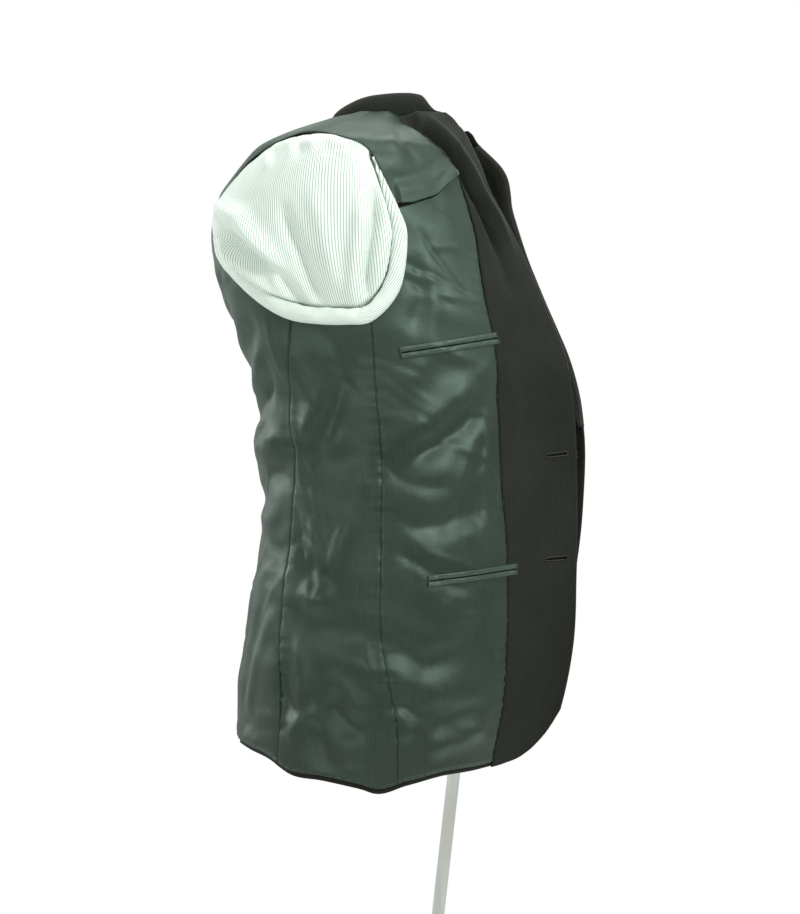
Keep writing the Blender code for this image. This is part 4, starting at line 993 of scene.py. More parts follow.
def make_lapel(side, word, finishes):
    """The lapel turns in round the roll line and lies behind the facing."""

    def place(u, v):
        height = blend(LAPEL[0, 0], LAPEL[-1, 0], v)
        tapered = soft_step((height - LAPEL[0, 0]) / LAPEL_TAPER)
        width = table_at(LAPEL, height) * blend(LAPEL_POINT, 1, tapered)
        bend = np.pi * np.clip(u / LAPEL_ROLL_SHARE, 0, 1)
        back = np.clip((u - LAPEL_ROLL_SHARE) / (1 - LAPEL_ROLL_SHARE), 0, 1)
        turn = turn_for(1.0, height, 0.1) * width * back
        depth = -WALL / 2 - LAPEL_ROLL * (1 - np.cos(bend)) - LAPEL_SPREAD * back
        edge = unit(cloth(0.0 * turn, height, 0.0, side) - cloth(0.0 * turn + 0.02, height, 0.0, side))
        ahead = 2 * SEAM_GAP + LAPEL_ROLL * np.sin(bend) * tapered
        return cloth(turn, height, depth, side) + edge * (ahead * (1 - back))[..., None]

    cloth_piece(f"lapel_{word}", place, 30, 80, WOOL_WALL, finishes["wool"], -side, 0.0)


def make_collar(finishes):
    """The stand, the roll and the fall in one piece, from one front end round the neck to the other."""
    count = len(COLLAR_PROFILE) + len(COLLAR_FALL_HEIGHTS)

    def place(u, v):
        turn = blend(COLLAR_FRONT_TURN, 2, 1 - np.abs(2 * u - 1))
        seam = bare_cloth(turn, NECK_HEIGHT)
        out = bare_cloth(turn, NECK_HEIGHT, NORMAL_STEP) - seam
        out[..., 2] = 0
        out = unit(out)
        grown = blend(COLLAR_END, 1, soft_step((turn - COLLAR_FRONT_TURN) / COLLAR_TAPER))
        made = np.zeros((count, *seam.shape))
        for row, (outward, rise) in enumerate(COLLAR_PROFILE):
            made[row] = seam + out * outward
            made[row, ..., 2] += rise * table_at(COLLAR_HEIGHT, turn) * grown
        for row, height in enumerate(COLLAR_FALL_HEIGHTS, len(COLLAR_PROFILE)):
            made[row] = cloth(turn, height, -COLLAR_FALL_DEPTH)
        spot = between_rows(made, v * (count - 1))
        spot[..., 0] *= np.where(u < 0.5, LEFT, RIGHT)
        return spot

    cloth_piece("collar", place, 150, 33, COLLAR_SHELL, finishes["wool"], RIGHT, 0.0)


def tube_turn(share, height):
    """Where a place across the sleeve hangs, as a turn. share is -1 at its front edge and 1 at its back edge."""
    down = np.clip((SLEEVE_TOP - height) / (SLEEVE_TOP - CUFF), 0, 1)
    front, back = (blend(top, low, down) for top, low in zip(TUBE_TOP_TURNS, TUBE_CUFF_TURNS))
    return blend(front, back, (share + 1) / 2)


def upright_wall(turn, height, depth):
    """A point straight above or below the jacket's waist, a set depth inside it."""
    spot = bare_cloth(turn, TUBE_SECTION_HEIGHT + 0 * turn, -depth)
    spot[..., 2] = height
    return spot


def rim_height(turn):
    """The height of the lower armhole at a turn."""
    turns, heights = armhole(np.linspace(*LOWER_HOLE_ROWS, 60))
    order = np.argsort(turns)
    return np.interp(turn, turns[order], heights[order])


def rim_radius(share):
    """How thick the rolled rim is. share is -1 at its front end and 1 at its back end."""
    return blend(RIM_END_RADIUS, RIM_RADIUS, soft_step((1 - np.abs(share)) / RIM_TAPER))


def rim_cover(turn, height):
    """How far behind its rolled rim the curtain must be: 1 is all the way and 0 is clear of it."""
    shares = np.linspace(-1, 1, RIM_SPOTS)
    turns, heights = armhole(np.linspace(FRONT_RIM_ROW, BACK_RIM_ROW, RIM_SPOTS))
    apart = np.hypot((turn[..., None] - turns) * TURN_LENGTH, height[..., None] - heights)
    apart = apart - 0.5 * rim_radius(shares)
    held = blend(COVER_AT_ENDS, 1, soft_step((1 - np.abs(shares[apart.argmin(axis=-1)])) / RIM_TAPER))
    cover = held * (1 - soft_step(apart.min(axis=-1) / COVER_REACH))
    inside = (height > rim_height(turn)) & (turn > turns.min()) & (turn < turns.max())
    return np.where(inside, cover, 1.0)


def sleeve_path(turn, height, share, drop):
    """The way from the armhole down to the hanging tube, as turn and height. It bows out behind the notches."""
    bow = NOTCH_BOW * np.sign(share) * soft_step((np.abs(share) - 0.45) / 0.55) * 4 * drop * (1 - drop)
    return blend(turn, tube_turn(share, SLEEVE_TOP), drop) + bow, blend(height, SLEEVE_TOP, drop)


def hang_in(turn, height, depth, inset):
    """Cloth between the armhole and the tube: from a depth behind the jacket to the upright wall."""
    rim = rim_height(turn)
    share = soft_step((rim - height) / (rim - SLEEVE_TOP))[..., None]
    return blend(bare_cloth(turn, height, -depth), upright_wall(turn, height, inset), share)


def make_under_sleeve(side, word, finishes):
    """The sleeve's under half: rolled out over the lower armhole, then down inside the body."""
    roll_rows, drop_rows, hang_rows = 6, 4, 4
    rows = roll_rows + drop_rows + hang_rows

    def place(u, v):
        share = 2 * u - 1
        row = (1 - v) ** ROLL_CROWDING * rows
        where = blend(FRONT_RIM_ROW, BACK_RIM_ROW, u)
        turn, height = armhole(where)
        edge = bare_cloth(turn, height, -WALL / 2)
        normal = unit(bare_cloth(turn, height, NORMAL_STEP) - bare_cloth(turn, height))
        ahead = unit(bare_cloth(*armhole(where + 0.05), -WALL / 2) - edge)
        into_hole = unit(np.cross(normal, ahead))
        grown = soft_step((1 - np.abs(share)) / RIM_TAPER)
        radius = rim_radius(share)
        rolled = np.clip(row / roll_rows, 0, 1)
        angle = np.radians(blend(RIM_END_ANGLE, RIM_START_ANGLE, grown)) * (1 - rolled)
        slack = np.sin(where * 5.1 + 1.7 * angle + side) + 0.6 * np.sin(where * 11.3 - 2.1 * angle)
        full = radius + ROLL_SLACK * slack * np.sin(np.pi * rolled)
        angle = angle[..., None]
        roll = edge + full[..., None] * (-normal * np.cos(angle) + into_hole * np.sin(angle))
        drop = np.clip((row - roll_rows) / drop_rows, 0, 1)
        behind = WALL / 2 + blend(radius, RIM_RADIUS, soft_step(drop / 0.3))
        passing = hang_in(*sleeve_path(turn, height, share, drop), behind, TUBE_INSET)
        level = blend(SLEEVE_TOP, CUFF, np.clip((row - roll_rows - drop_rows) / hang_rows, 0, 1))
        tube = upright_wall(tube_turn(share, level), level, TUBE_INSET)
        rolling, dropping = (row <= roll_rows)[..., None], (row <= roll_rows + drop_rows)[..., None]
        spot = np.where(rolling, roll, np.where(dropping, passing, tube))
        spot[..., 0] *= side
        return spot

    cloth_piece(
        f"under_sleeve_{word}", place, 120, 96, SLEEVE_WALL, finishes["striped"], side, 0.0, slant=0.75
    )


def make_top_sleeve(side, word, finishes):
    """The sleeve's top half: it hangs from the upper armhole as a full curtain, then down behind the under half."""
    drop_rows, hang_rows = 10, 3
    rows = drop_rows + hang_rows

    def place(u, v):
        share = 2 * u - 1
        row = (1 - v) * rows
        where = FRONT_CURTAIN_ROW - (len(ARMHOLE) - BACK_CURTAIN_ROW + FRONT_CURTAIN_ROW) * u
        turn, height = armhole(where)
        drop = np.clip(row / drop_rows, 0, 1)
        low, level = sleeve_path(turn, height + CURTAIN_TUCK, share, drop)
        clear = 1 - rim_cover(low, level)
        puff = CURTAIN_PUFF * np.sin(np.pi * np.clip(drop / PUFF_END, 0, 1))
        gathers = GATHER_DEPTH * np.sin(where * 9.7 + side) * (0.6 + 0.4 * np.sin(where * 4.3))
        gathers = gathers * np.exp(-drop / GATHER_FADE) * soft_step(drop / GATHER_START)
        folds = crease_rise(low, level, SLEEVE_CREASES[word]) * clear * soft_step(drop / FOLD_START)
        inset = TUBE_INSET + LINING_WALL + SLEEVE_GAP + TUBE_DEPTH * (1 - np.abs(share) ** TUBE_SQUARENESS)
        depth = blend(CURTAIN_BEHIND, CURTAIN_TUCK_DEPTH - puff, clear) - folds - gathers
        curtain = hang_in(low, level, depth, inset)
        below = blend(SLEEVE_TOP, CUFF, np.clip((row - drop_rows) / hang_rows, 0, 1))
        tube = upright_wall(tube_turn(share, below), below, inset)
        spot = np.where((row <= drop_rows)[..., None], curtain, tube)
        spot[..., 0] *= side
        return spot

    cloth_piece(
        f"top_sleeve_{word}", place, 150, 140, SLEEVE_WALL, finishes["striped"], side, 0.0, even=True
    )


def surface_frame(turn, height, lift, side):
    """Points on the cloth, and its outward normals there."""
    spots = cloth(turn, height, lift, side)
    return spots + JACKET_PLACE, unit(cloth(turn, height, lift + NORMAL_STEP, side) - spots)


def make_stitches(name, turn, height, lift, side, finish, length=0.0021, radius=0.00030):
    """Short stitches, one at each point of a line on the cloth, each a thread that dips in at both ends."""
    spots, normals = surface_frame(turn, height, lift, side)
    along = unit(np.gradient(spots, axis=0))
    beside = np.cross(normals, along)
    corners, sides = 7, 6
    step = np.linspace(-1, 1, corners)[None, :, None, None]
    angle = np.linspace(0, 2 * np.pi, sides, endpoint=False)[None, None, :, None]
    thin = radius * (0.35 + 0.65 * (1 - step**2))
    arch = radius * (1.4 - 2.6 * step**2)
    made = (
        spots[:, None, None]
        + along[:, None, None] * step * length / 2
        + normals[:, None, None] * (arch + thin * np.sin(angle))
        + beside[:, None, None] * thin * np.cos(angle)
    )
    first = np.arange(len(spots))[:, None, None] * corners * sides
    ring = first + np.arange(corners - 1)[None, :, None] * sides
    here = np.arange(sides)[None, None, :]
    after = (here + 1) % sides
    quads = np.stack([ring + here, ring + after, ring + sides + after, ring + sides + here], axis=-1)
    mesh = bpy.data.meshes.new(name)
    caps = [list(range(start, start + sides)) for start in first.ravel().tolist()]
    ends = [[(corners - 1) * sides + corner for corner in reversed(cap)] for cap in caps]
    mesh.from_pydata(made.reshape(-1, 3).tolist(), [], quads.reshape(-1, 4).tolist() + caps + ends)
    mesh.shade_smooth()
    return show(mesh, finish)


def make_seam_stitches(side, word, finishes):
    """Pick stitches beside the facing seam, and those that hold the lining to the hem."""
    height = np.arange(*PICK_HEIGHTS, PICK_SPACING)
    turn = table_at(FACING_SEAM, height) - PICK_INSET
    make_stitches(f"facing_pick_stitches_{word}", turn, height, 0.0, side, finishes["dark_thread"])
    turn = np.arange(*HEM_STITCH_TURNS, HEM_STITCH_SPACING / TURN_LENGTH)
    hem = table_at(HEM, turn) + LINING_LEVEL - HEM_LEVEL + HEM_STITCH_RISE
    make_stitches(f"hem_stitches_{word}", turn, hem, 0.0, side, finishes["dark_thread"], HEM_STITCH_LENGTH)


def tube_mesh(name, route, normals, radii, sides=8):
    """A closed thread round a route, which joins on itself."""
    along = unit(np.roll(route, -1, axis=0) - np.roll(route, 1, axis=0))
    beside = unit(np.cross(normals, along))
    angle = np.linspace(0, 2 * np.pi, sides, endpoint=False)[None, :, None]
    ring = route[:, None] + radii[:, None, None] * (normals[:, None] * np.sin(angle) + beside[:, None] * np.cos(angle))
    ring = np.concatenate([ring, ring[:1]], axis=0)
    marks = points(np.arange(len(ring))[:, None] * 0.001, angle[..., 0] * 0.001)
    return grid_mesh(name, ring, marks, around=True)


def make_buttonholes(finishes):
    """A worked edge round each slit of the left facing, wider at the eye by the front edge."""

    def half_width(share):
        return BUTTONHOLE_HALF_WIDTH * (1 + EYE_GROWTH * soft_step((share - EYE_START) / EYE_TAPER))

    angle = np.linspace(0, 2 * math.pi, 220, endpoint=False)
    share = (1 - np.cos(angle)) / 2
    rise = half_width(share) * np.sign(np.sin(angle)) * np.abs(np.sin(angle)) ** 0.5
    wraps = BUTTONHOLE_CORD * (1.0 + BUTTONHOLE_WRAP_RISE * np.cos(angle * BUTTONHOLE_WRAPS))
    u, v = np.meshgrid(np.linspace(0.03, 0.97, 30), np.linspace(-0.8, 0.8, 5))
    for name, heights in BUTTONHOLE_HEIGHTS.items():
        turn, level = blend(*BUTTONHOLE_TURNS, share), blend(*heights, share) + rise
        route, normals = surface_frame(turn, level, BUTTONHOLE_CORD, LEFT)
        thread = tube_mesh(f"{name}_buttonhole_thread", route, normals, wraps)
        show(thread, finishes["dark_thread"], f"{name}_buttonhole")
        # A near-black sheet painted as the shade inside the slit.
        level = blend(*heights, u) + half_width(u) * (4 * u * (1 - u)) ** 0.25 * v
        spots = cloth(blend(*BUTTONHOLE_TURNS, u), level, 0.0001, LEFT) + JACKET_PLACE
        slit = grid_mesh(f"{name}_buttonhole_slit_shade", spots, points(u, v) * 0.03, True)
        show(slit, finishes["shadow"], wall=SLIT_WALL)


def make_pockets(finishes):
    """Two narrow welts along each inner pocket's mouth on the left front, a painted-shade slot, and its tacked ends.
    """
    for name, (turns, heights) in POCKETS.items():
        for word, lift in (("upper", JET_SPACING / 2), ("lower", -JET_SPACING / 2)):

            def place(u, v):
                across = 2 * v - 1
                at = blend(*turns, 1 - u)
                level = blend(*heights, 1 - u) + lift + across * (JET_WIDTH / 2 - 0.0002)
                ripple = JET_RIPPLE * np.sin(at * 120 + lift * 900) * (1 - across**2)
                return cloth(at, level, JET_RISE - JET_ARCH * across**2 + ripple, LEFT)

            cloth_piece(f"{name}_pocket_{word}_jet", place, 100, 8, SATIN_WALL, finishes["jet"], LEFT)
        # A near-black sheet painted as the shade inside the pocket's slot.
        u, v = np.meshgrid(np.linspace(0.01, 0.99, 90), np.linspace(-1, 1, 4))
        level = blend(*heights, u) + v * POCKET_SLOT / 2
        spots = cloth(blend(*turns, u), level, 0.0006, LEFT) + JACKET_PLACE
        mouth = grid_mesh(f"{name}_pocket_mouth_shade", spots, points(u, v) * 0.1)
        show(mouth, finishes["shadow"], wall=MOUTH_WALL, offset=0.0)
        across = np.linspace(-TACK_REACH, TACK_REACH, 9)
        beside = np.arange(0.02, 0.985, 0.0165)
        edge = (JET_SPACING + JET_WIDTH) / 2 + JET_STITCH_GAP
        for part, share, rise, lift, stitch in (
            ("back_tack", np.full(9, 0.004), across, JET_RISE, TACK_STITCH),
            ("front_tack", np.full(9, 0.996), across, JET_RISE, TACK_STITCH),
            ("upper_stitches", beside, edge, 0.0, JET_STITCH),
            ("lower_stitches", beside, -edge, 0.0, JET_STITCH),
        ):
            at, level = blend(*turns, share), blend(*heights, share) + rise
            make_stitches(f"{name}_pocket_{part}", at, level, lift, LEFT, finishes["jet_thread"], *stitch)


def make_buttons(finishes):
    """Two four-hole buttons on the right front's outer face, which is turned inward."""
    share, angle = np.meshgrid(np.linspace(0, 2, 80), np.linspace(0, 2 * np.pi, 72, endpoint=False), indexing="ij")
    radius = BUTTON_RADIUS * np.where(share < 1, share, 2 - share)
    x, y = radius * np.cos(angle), radius * np.sin(angle)
    face = np.interp(radius / BUTTON_RADIUS, BUTTON_FACE[:, 0], BUTTON_FACE[:, 1]) * BUTTON_THICKNESS
    hole = np.hypot(np.abs(x) - HOLE_SPREAD, np.abs(y) - HOLE_SPREAD)
    pit = soft_step((HOLE_RADIUS - hole) / 0.0004) * HOLE_DEPTH
    back = -BUTTON_BACK * BUTTON_THICKNESS * (2 - share) ** 0.08
    level = np.where(share < 1, face - pit, back)
    for name, (height, _) in BUTTONHOLE_HEIGHTS.items():
        near = bare_cloth(BUTTON_TURN, height, -WALL - REST_GAP)
        aim = unit(bare_cloth(BUTTON_TURN, height, -WALL - 0.01) - near)
        lowest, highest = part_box(f"{name}_button")
        middle = (np.array(lowest) + np.array(highest)) / 2 + aim * BUTTON_LIFT
        beside = unit(np.cross(aim, (0, 0, 1.0)))
        over = np.cross(aim, beside)
        spots = middle + x[..., None] * beside + y[..., None] * over + level[..., None] * aim
        mesh = grid_mesh(f"{name}_button_face", spots, points(x, y), around=True)
        show(mesh, finishes["horn"], f"{name}_button")


def make_form(finishes):
    """A smooth, limbless torso in stretched cotton, with a seam down its front and back."""
    # Rows at the flat bottom and at the neck lie on the table's straight lines, the rest on a smooth curve.
    heights = np.concatenate([
        np.linspace(FORM[0, 0], 0.83, 8), np.linspace(0.836, 1.43, 90), np.linspace(1.434, FORM[-1, 0], 34)
    ])
    levels = np.stack([np.interp(heights, FORM[:, 0], column) for column in FORM.T], axis=-1)
    levels[8:-30] = smooth_rows(FORM, heights)[8:-30]
    angle = np.linspace(0, 2 * math.pi, 112, endpoint=False)[None]
    power = 2 / FORM_ROUNDNESS
    _, side_x, side_y, front_y, back_y = (levels[:, column, None] for column in range(5))
    sine, cosine = np.sin(angle), np.cos(angle)
    depth = np.where(cosine > 0, side_y - front_y, back_y - side_y)
    x = side_x * np.sign(sine) * np.abs(sine) ** power
    inset = FORM_INSET + FORM_SEAM_DIP * np.exp(-((x / FORM_SEAM_WIDTH) ** 2))
    shrink = 1 - inset / np.maximum(side_x, 0.02)
    y = side_y - depth * np.sign(cosine) * np.abs(cosine) ** power * shrink
    spots = points(x * shrink, y, heights[:, None]) + JACKET_PLACE
    closed = [np.broadcast_to(row.mean(axis=0), spots[:1].shape) for row in (spots[0], spots[-1])]
    spots = np.concatenate([closed[0], spots, closed[1]], axis=0)
    girths = running_lengths(np.concatenate([spots, spots[:, :1]], axis=1), 1)[:, :-1]
    mesh = grid_mesh("dress_form_cover", spots, points(girths, spots[..., 2]), around=True)
    show(mesh, finishes["cotton"], "dress_form")


def add(tree, kind, inputs=(), **settings):
    """A node with its settings, and its inputs set to values or joined to other nodes' sockets."""
    made = tree.nodes.new(kind)
    for name, value in settings.items():
        setattr(made, name, value)
    for name, value in dict(inputs).items():
        if isinstance(value, bpy.types.NodeSocket):
            tree.links.new(value, made.inputs[name])
        else:
            made.inputs[name].default_value = value
    return made


def colour(value):
    return (*value, 1.0)


def new_finish(name, roughness, metallic=0.0, sheen=0.0, sheen_tint=(1, 1, 1), anisotropic=0.0, specular=0.5):
    """A material with a Principled shader, and its node tree."""
    material = bpy.data.materials.new(name)
    material.use_nodes = True
    shader = material.node_tree.nodes["Principled BSDF"]
    for socket, value in (
        ("Roughness", roughness), ("Metallic", metallic), ("Sheen Weight", sheen), ("Sheen Roughness", 0.4),
        ("Sheen Tint", colour(sheen_tint)), ("Anisotropic", anisotropic), ("Specular IOR Level", specular),
    ):
        shader.inputs[socket].default_value = value
    return material, material.node_tree, shader


def threads(tree, places, pitch, direction="X"):
    """Bands of a pitch in metres across a surface's UV map, from 0 to 1."""
    return add(
        tree, "ShaderNodeTexWave", {"Vector": places, "Scale": 0.1 * math.pi / pitch},
        wave_type="BANDS", bands_direction=direction, wave_profile="SIN",
    ).outputs["Fac"]


def mottle(tree, places, size, detail=3.0):
    """Soft noise with patches of a size in metres."""
    return add(
        tree, "ShaderNodeTexNoise", {"Vector": places, "Scale": 1 / size, "Detail": detail}
    ).outputs["Fac"]


def blend_colours(tree, share, low, high):
    inputs = {"Fac": share}
    inputs["Color1"] = low if isinstance(low, bpy.types.NodeSocket) else colour(low)
    inputs["Color2"] = high if isinstance(high, bpy.types.NodeSocket) else colour(high)
    return add(tree, "ShaderNodeMixRGB", inputs).outputs["Color"]


def spread(tree, value, low, high, to_low=0.0, to_high=1.0):
    return add(
        tree, "ShaderNodeMapRange",
        {"Value": value, "From Min": low, "From Max": high, "To Min": to_low, "To Max": to_high},
    ).outputs["Result"]


def sum_of(tree, first, second, share):
    """first plus a share of second."""
    scaled = add(tree, "ShaderNodeMath", {0: second, 1: share}, operation="MULTIPLY").outputs[0]
    return add(tree, "ShaderNodeMath", {0: first, 1: scaled}, operation="ADD").outputs[0]


def bump(tree, shader, height, distance, strength=1.0):
    made = add(tree, "ShaderNodeBump", {"Height": height, "Distance": distance, "Strength": strength})
    tree.links.new(made.outputs["Normal"], shader.inputs["Normal"])


def object_places(tree):
    """Places in the object's own space, in metres."""
    return add(tree, "ShaderNodeTexCoord").outputs["Object"]


def height_in(tree, places):
    return add(tree, "ShaderNodeSeparateXYZ", {"Vector": places}).outputs["Z"]


def drawn_out(tree, places, scale):
    """Places for noise that is stretched where the scale is less than 1."""
    return add(tree, "ShaderNodeMapping", {"Vector": places, "Scale": scale}).outputs["Vector"]


def paint(tree, shader, shade):
    tree.links.new(shade, shader.inputs["Base Color"])


def surface_places(tree):
    """Places on a surface by its UV map, and in the object's own space, both in metres."""
    return add(tree, "ShaderNodeUVMap", uv_map="UVMap").outputs["UV"], object_places(tree)


def satin_finish(name="lining_satin", dark=(0.0090, 0.0125, 0.0090), light=(0.0180, 0.0235, 0.0175)):
    """Dark green-grey satin lining: a fine twill, a soft gleam, painted sheen round the chest, browner towards the
    hem.
    """
    material, tree, shader = new_finish(
        name, 0.40, sheen=0.09, sheen_tint=(0.62, 1.0, 0.80), anisotropic=0.5, specular=0.72
    )
    shader.inputs["Specular Tint"].default_value = (0.54, 0.75, 0.67, 1.0)
    uv, place = surface_places(tree)
    shade = blend_colours(tree, spread(tree, mottle(tree, place, 0.055), 0.35, 0.65), dark, light)
    height = height_in(tree, place)
    # Painted sheen: a lighter, bluer base colour round the chest, as light on the cloth, gone above the shoulders.
    chest = blend_colours(tree, spread(tree, height, *SATIN_PAINTED_SHEEN_HEIGHTS, 0.0, 0.42), shade, SATIN_PAINTED_SHEEN)
    shade = blend_colours(tree, spread(tree, height, *SATIN_PAINTED_SHEEN_FADE_HEIGHTS), chest, shade)
    warm = spread(tree, height, *SATIN_HEM_HEIGHTS, 0.0, 0.45)
    shade = blend_colours(tree, warm, shade, SATIN_HEM)
    drawn = drawn_out(tree, uv, (1.0, 0.05, 1.0))
    slubs = spread(tree, mottle(tree, drawn, 0.0016, 3.0), 0.35, 0.70, 0.0, 0.30)
    shade = blend_colours(tree, slubs, shade, SATIN_SLUB)
    pulled = drawn_out(tree, uv, (0.4, 1.0, 1.0))
    fine = threads(tree, uv, 0.00055)
    across = threads(tree, uv, 0.00080, "Y")
    paint(tree, shader, blend_colours(tree, spread(tree, fine, 0, 1, 0.0, 0.12), shade, SATIN_THREAD))
    tree.links.new(spread(tree, mottle(tree, place, 0.030), 0.3, 0.7, 0.36, 0.50), shader.inputs["Roughness"])
    crumple = sum_of(tree, mottle(tree, place, 0.016, 2.0), mottle(tree, pulled, 0.0045, 3.0), 0.30)
    bump(tree, shader, sum_of(tree, sum_of(tree, crumple, fine, 0.06), across, 0.06), 0.00034)
    return material


def wool_finish():
    """Brown-grey suit wool with fine steep ribs and a dry, fuzzy face."""
    material, tree, shader = new_finish("ribbed_wool", 0.90, sheen=0.05, sheen_tint=(0.8, 0.95, 0.85), specular=0.2)
    uv, place = surface_places(tree)
    ribs = threads(tree, uv, RIB_PITCH)
    fine = threads(tree, uv, 0.0009, "Y")
    patches = spread(tree, mottle(tree, place, 0.07), 0.3, 0.7)
    ground = blend_colours(tree, patches, (0.0095, 0.0108, 0.0082), (0.0150, 0.0164, 0.0130))
    rib = blend_colours(tree, patches, (0.0175, 0.0185, 0.0146), (0.0250, 0.0264, 0.0210))
    shade = blend_colours(tree, spread(tree, ribs, 0.25, 0.8), ground, rib)
    height = height_in(tree, place)
    shade = blend_colours(tree, spread(tree, height, *WOOL_HEM_HEIGHTS, 0.0, 0.55), shade, WOOL_HEM)
    fuzz = mottle(tree, place, 0.0012, 4.0)
    paint(tree, shader, blend_colours(tree, spread(tree, fuzz, 0.45, 0.75, 0.0, 0.25), shade, (0.040, 0.042, 0.034)))
    bump(tree, shader, sum_of(tree, sum_of(tree, ribs, fine, 0.25), fuzz, 0.5), 0.00028)
    return material


def striped_finish():
    """White sleeve lining with thin grey-green stripes."""
    material, tree, shader = new_finish("striped_sleeve_lining", 0.50, sheen=0.05, anisotropic=0.2, specular=0.4)
    uv, place = surface_places(tree)
    stripe = spread(tree, threads(tree, uv, STRIPE_PITCH), 0.60, 0.92)
    fine = threads(tree, uv, 0.0005, "Y")
    ground = blend_colours(tree, mottle(tree, place, 0.05), (0.87, 0.92, 0.88), (0.93, 0.97, 0.93))
    paint(tree, shader, blend_colours(tree, spread(tree, stripe, 0, 1, 0.0, 0.85), ground, (0.30, 0.42, 0.36)))
    crumple = mottle(tree, place, 0.012, 3.0)
    bump(tree, shader, sum_of(tree, crumple, fine, 0.04), 0.0006)
    return material


def thread_finish(name, dark, light):
    """Twisted sewing thread."""
    material, tree, shader = new_finish(name, 0.6, sheen=0.1, specular=0.4)
    place = object_places(tree)
    twist = mottle(tree, place, 0.0008, 2.0)
    paint(tree, shader, blend_colours(tree, spread(tree, twist, 0.3, 0.7), dark, light))
    bump(tree, shader, twist, 0.0001)
    return material


def shadow_finish():
    """The unlit inside of a slit."""
    material, tree, shader = new_finish("slit_inside", 0.95, specular=0.1)
    place = object_places(tree)
    shade = blend_colours(tree, mottle(tree, place, 0.002), (0.003, 0.004, 0.003), (0.009, 0.010, 0.008))
    paint(tree, shader, shade)
    return material


def horn_finish():
    """Dark brown horn with drawn-out streaks."""
    material, tree, shader = new_finish("horn_button", 0.28)
    place = object_places(tree)
    drawn = drawn_out(tree, place, (1.0, 1.0, 5.0))
    streaks = mottle(tree, drawn, 0.006, 4.0)
    shade = blend_colours(tree, spread(tree, streaks, 0.35, 0.65), (0.010, 0.007, 0.005), (0.060, 0.040, 0.026))
    paint(tree, shader, shade)
    tree.links.new(spread(tree, streaks, 0.3, 0.7, 0.22, 0.38), shader.inputs["Roughness"])
    bump(tree, shader, streaks, 0.00008)
    return material


def cotton_finish():
    """The dress form's pale cotton jersey."""
    material, tree, shader = new_finish("form_cotton", 0.85, sheen=0.15, specular=0.3)
    uv, place = surface_places(tree)
    knit = threads(tree, uv, 0.0011)
    courses = threads(tree, uv, 0.0009, "Y")
    weave = add(tree, "ShaderNodeMath", {0: knit, 1: courses}, operation="MULTIPLY").outputs[0]
    ground = blend_colours(tree, mottle(tree, place, 0.08), (0.58, 0.56, 0.50), (0.68, 0.66, 0.60))
    paint(tree, shader, blend_colours(tree, spread(tree, weave, 0, 1, 0.25, 0.0), ground, (0.40, 0.38, 0.33)))
    bump(tree, shader, sum_of(tree, weave, mottle(tree, place, 0.004), 0.5), 0.0003)
    return material


def metal_finish(name, tone, low, high, grain, painted_reflection_dim):
    """Polished or brushed metal, with faint streaks and smears in its gloss, and dark reflections painted into its
    colour.
    """
    material, tree, shader = new_finish(name, low, metallic=1.0, anisotropic=0.3)
    place = object_places(tree)
    drawn = drawn_out(tree, place, grain)
    streaks = mottle(tree, drawn, 0.004, 4.0)
    smears = mottle(tree, place, 0.06, 3.0)
    clouded = blend_colours(tree, spread(tree, smears, 0.3, 0.7), tuple(0.86 * part for part in tone), tone)
    # Painted reflection: thin dark wandering lines in the base colour stand for dark things mirrored in the metal.
    painted_reflections = spread(tree, mottle(tree, drawn, 0.009, 1.0), 0.40, 0.50, 1.0, 0.0)
    paint(tree, shader, blend_colours(tree, painted_reflections, clouded, tuple(painted_reflection_dim * part for part in tone)))
    tree.links.new(spread(tree, streaks, 0.3, 0.7, low, high), shader.inputs["Roughness"])
    bump(tree, shader, streaks, 0.00002)
    return material


def make_finishes():
    return {
        "satin": satin_finish(),
        "jet": satin_finish("jet_satin", (0.036, 0.050, 0.038), (0.055, 0.072, 0.056)),
        "wool": wool_finish(),
        "striped": striped_finish(),
        "dark_thread": thread_finish("dark_thread", (0.010, 0.010, 0.008), (0.028, 0.028, 0.023)),
        "jet_thread": thread_finish("jet_thread", (0.030, 0.036, 0.028), (0.075, 0.085, 0.068)),
        "shadow": shadow_finish(),
        "horn": horn_finish(),
        "cotton": cotton_finish(),
        "chrome": metal_finish("pole_chrome", (0.99, 1.0, 0.95), 0.08, 0.16, (1.0, 1.0, 0.05), 0.86),
        "steel": metal_finish("base_steel", (0.62, 0.64, 0.62), 0.25, 0.38, (0.15, 1.0, 1.0), 0.78),
    }


def refinish(node, finish):
    """Gives a CAD node that keeps its shape its better material."""
    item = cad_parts[node]
    item.data.materials.clear()
    item.data.materials.append(finish)


def make_camera():
    """The photograph's view: level, from the form's right side."""
    data = bpy.data.cameras.new("camera")
    camera = bpy.data.objects.new("camera", data)
    bpy.context.scene.collection.objects.link(camera)
    turned = math.radians(VIEW_TURN)
    toward = Vector((math.cos(turned), math.sin(turned), 0))
    camera.location = Vector(VIEW_TARGET) - VIEW_DISTANCE * toward
    camera.rotation_mode = "QUATERNION"
    camera.rotation_quaternion = toward.to_track_quat("-Z", "Y")
    data.sensor_fit = "VERTICAL"
    data.sensor_height = data.sensor_width = SENSOR
    data.lens = SENSOR * VIEW_DISTANCE / (METRES_PER_PIXEL * PHOTO_HEIGHT)
    bpy.context.scene.camera = camera


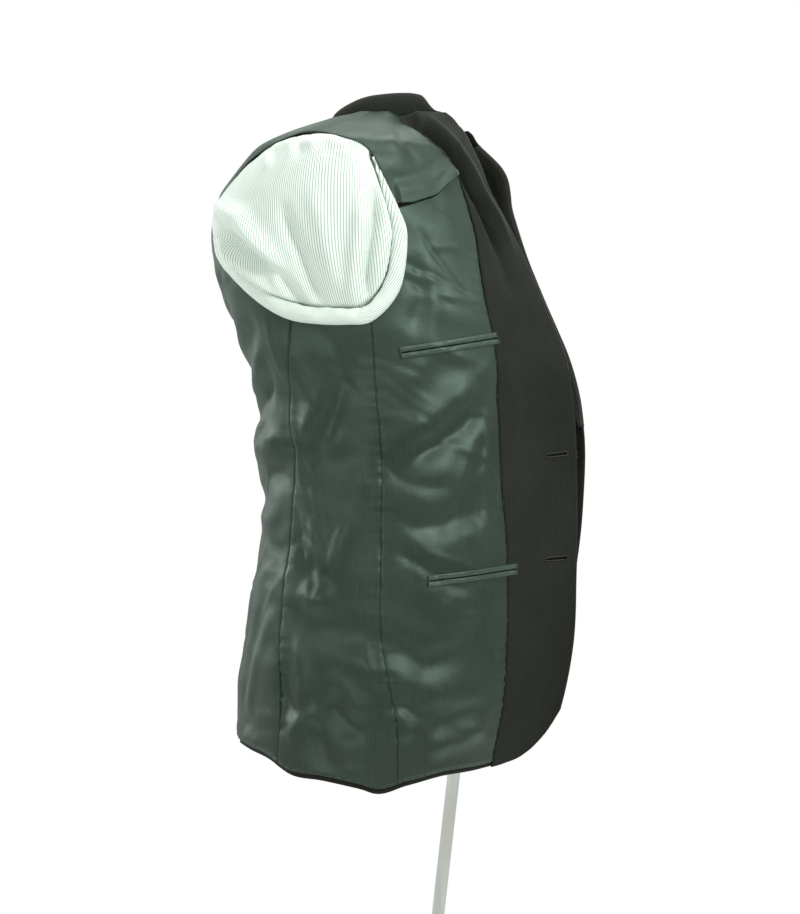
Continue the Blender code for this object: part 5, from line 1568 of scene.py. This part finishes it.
def make_light(name, place, size, watts):
    data = bpy.data.lights.new(name, "AREA")
    data.size = size
    data.energy = watts
    data.color = STUDIO_TONE
    light = bpy.data.objects.new(name, data)
    light.location = place
    light.rotation_mode = "QUATERNION"
    light.rotation_quaternion = (Vector(VIEW_TARGET) - Vector(place)).to_track_quat("-Z", "Y")
    bpy.context.scene.collection.objects.link(light)


def make_studio():
    """A white surround, a pale floor, and soft lights from the front and both sides."""
    world = bpy.data.worlds.new("studio")
    bpy.context.scene.world = world
    world.use_nodes = True
    tree = world.node_tree
    background = tree.nodes["Background"]
    seen = add(tree, "ShaderNodeLightPath").outputs["Is Camera Ray"]
    strength = spread(tree, seen, 0.0, 1.0, SURROUND_LIGHT, 1.0)
    tone = blend_colours(tree, seen, STUDIO_TONE, (1, 1, 1))
    tree.links.new(tone, background.inputs["Color"])
    tree.links.new(strength, background.inputs["Strength"])
    bpy.context.scene.view_settings.view_transform = "Standard"
    for light in STUDIO_LIGHTS:
        make_light(*light)
    material, tree, shader = new_finish("studio_floor", 0.9)
    place = object_places(tree)
    shade = blend_colours(tree, mottle(tree, place, 0.4), (0.80, 0.81, 0.80), (0.84, 0.85, 0.84))
    paint(tree, shader, shade)
    angle = np.linspace(0, 2 * math.pi, 96, endpoint=False)
    radius = np.array([0.05, FLOOR_RADIUS])[:, None]
    rings = points(radius * np.cos(angle), radius * np.sin(angle), FLOOR_HEIGHT)
    rings = np.concatenate([rings[:1] * (0, 0, 1), rings])
    floor = bpy.data.objects.new("studio_floor", grid_mesh("studio_floor", rings, rings[..., :2], around=True))
    floor.data.materials.append(material)
    bpy.context.scene.collection.objects.link(floor)


def main():
    make_camera()
    make_studio()
    finishes = make_finishes()
    for side, word in SIDE_WORDS.items():
        for make in (
            make_facing, make_lapel, make_front_lining, make_yoke_lining, make_side_lining, make_back_lining,
            make_hem_band, make_under_sleeve, make_top_sleeve, make_seam_stitches,
        ):
            make(side, word, finishes)
    for make in (make_collar, make_pockets, make_buttonholes, make_buttons, make_form):
        make(finishes)
    for node, finish in (("stand_pole", "chrome"), ("stand_socket", "chrome"), ("stand_base", "steel")):
        refinish(node, finishes[finish])


main()
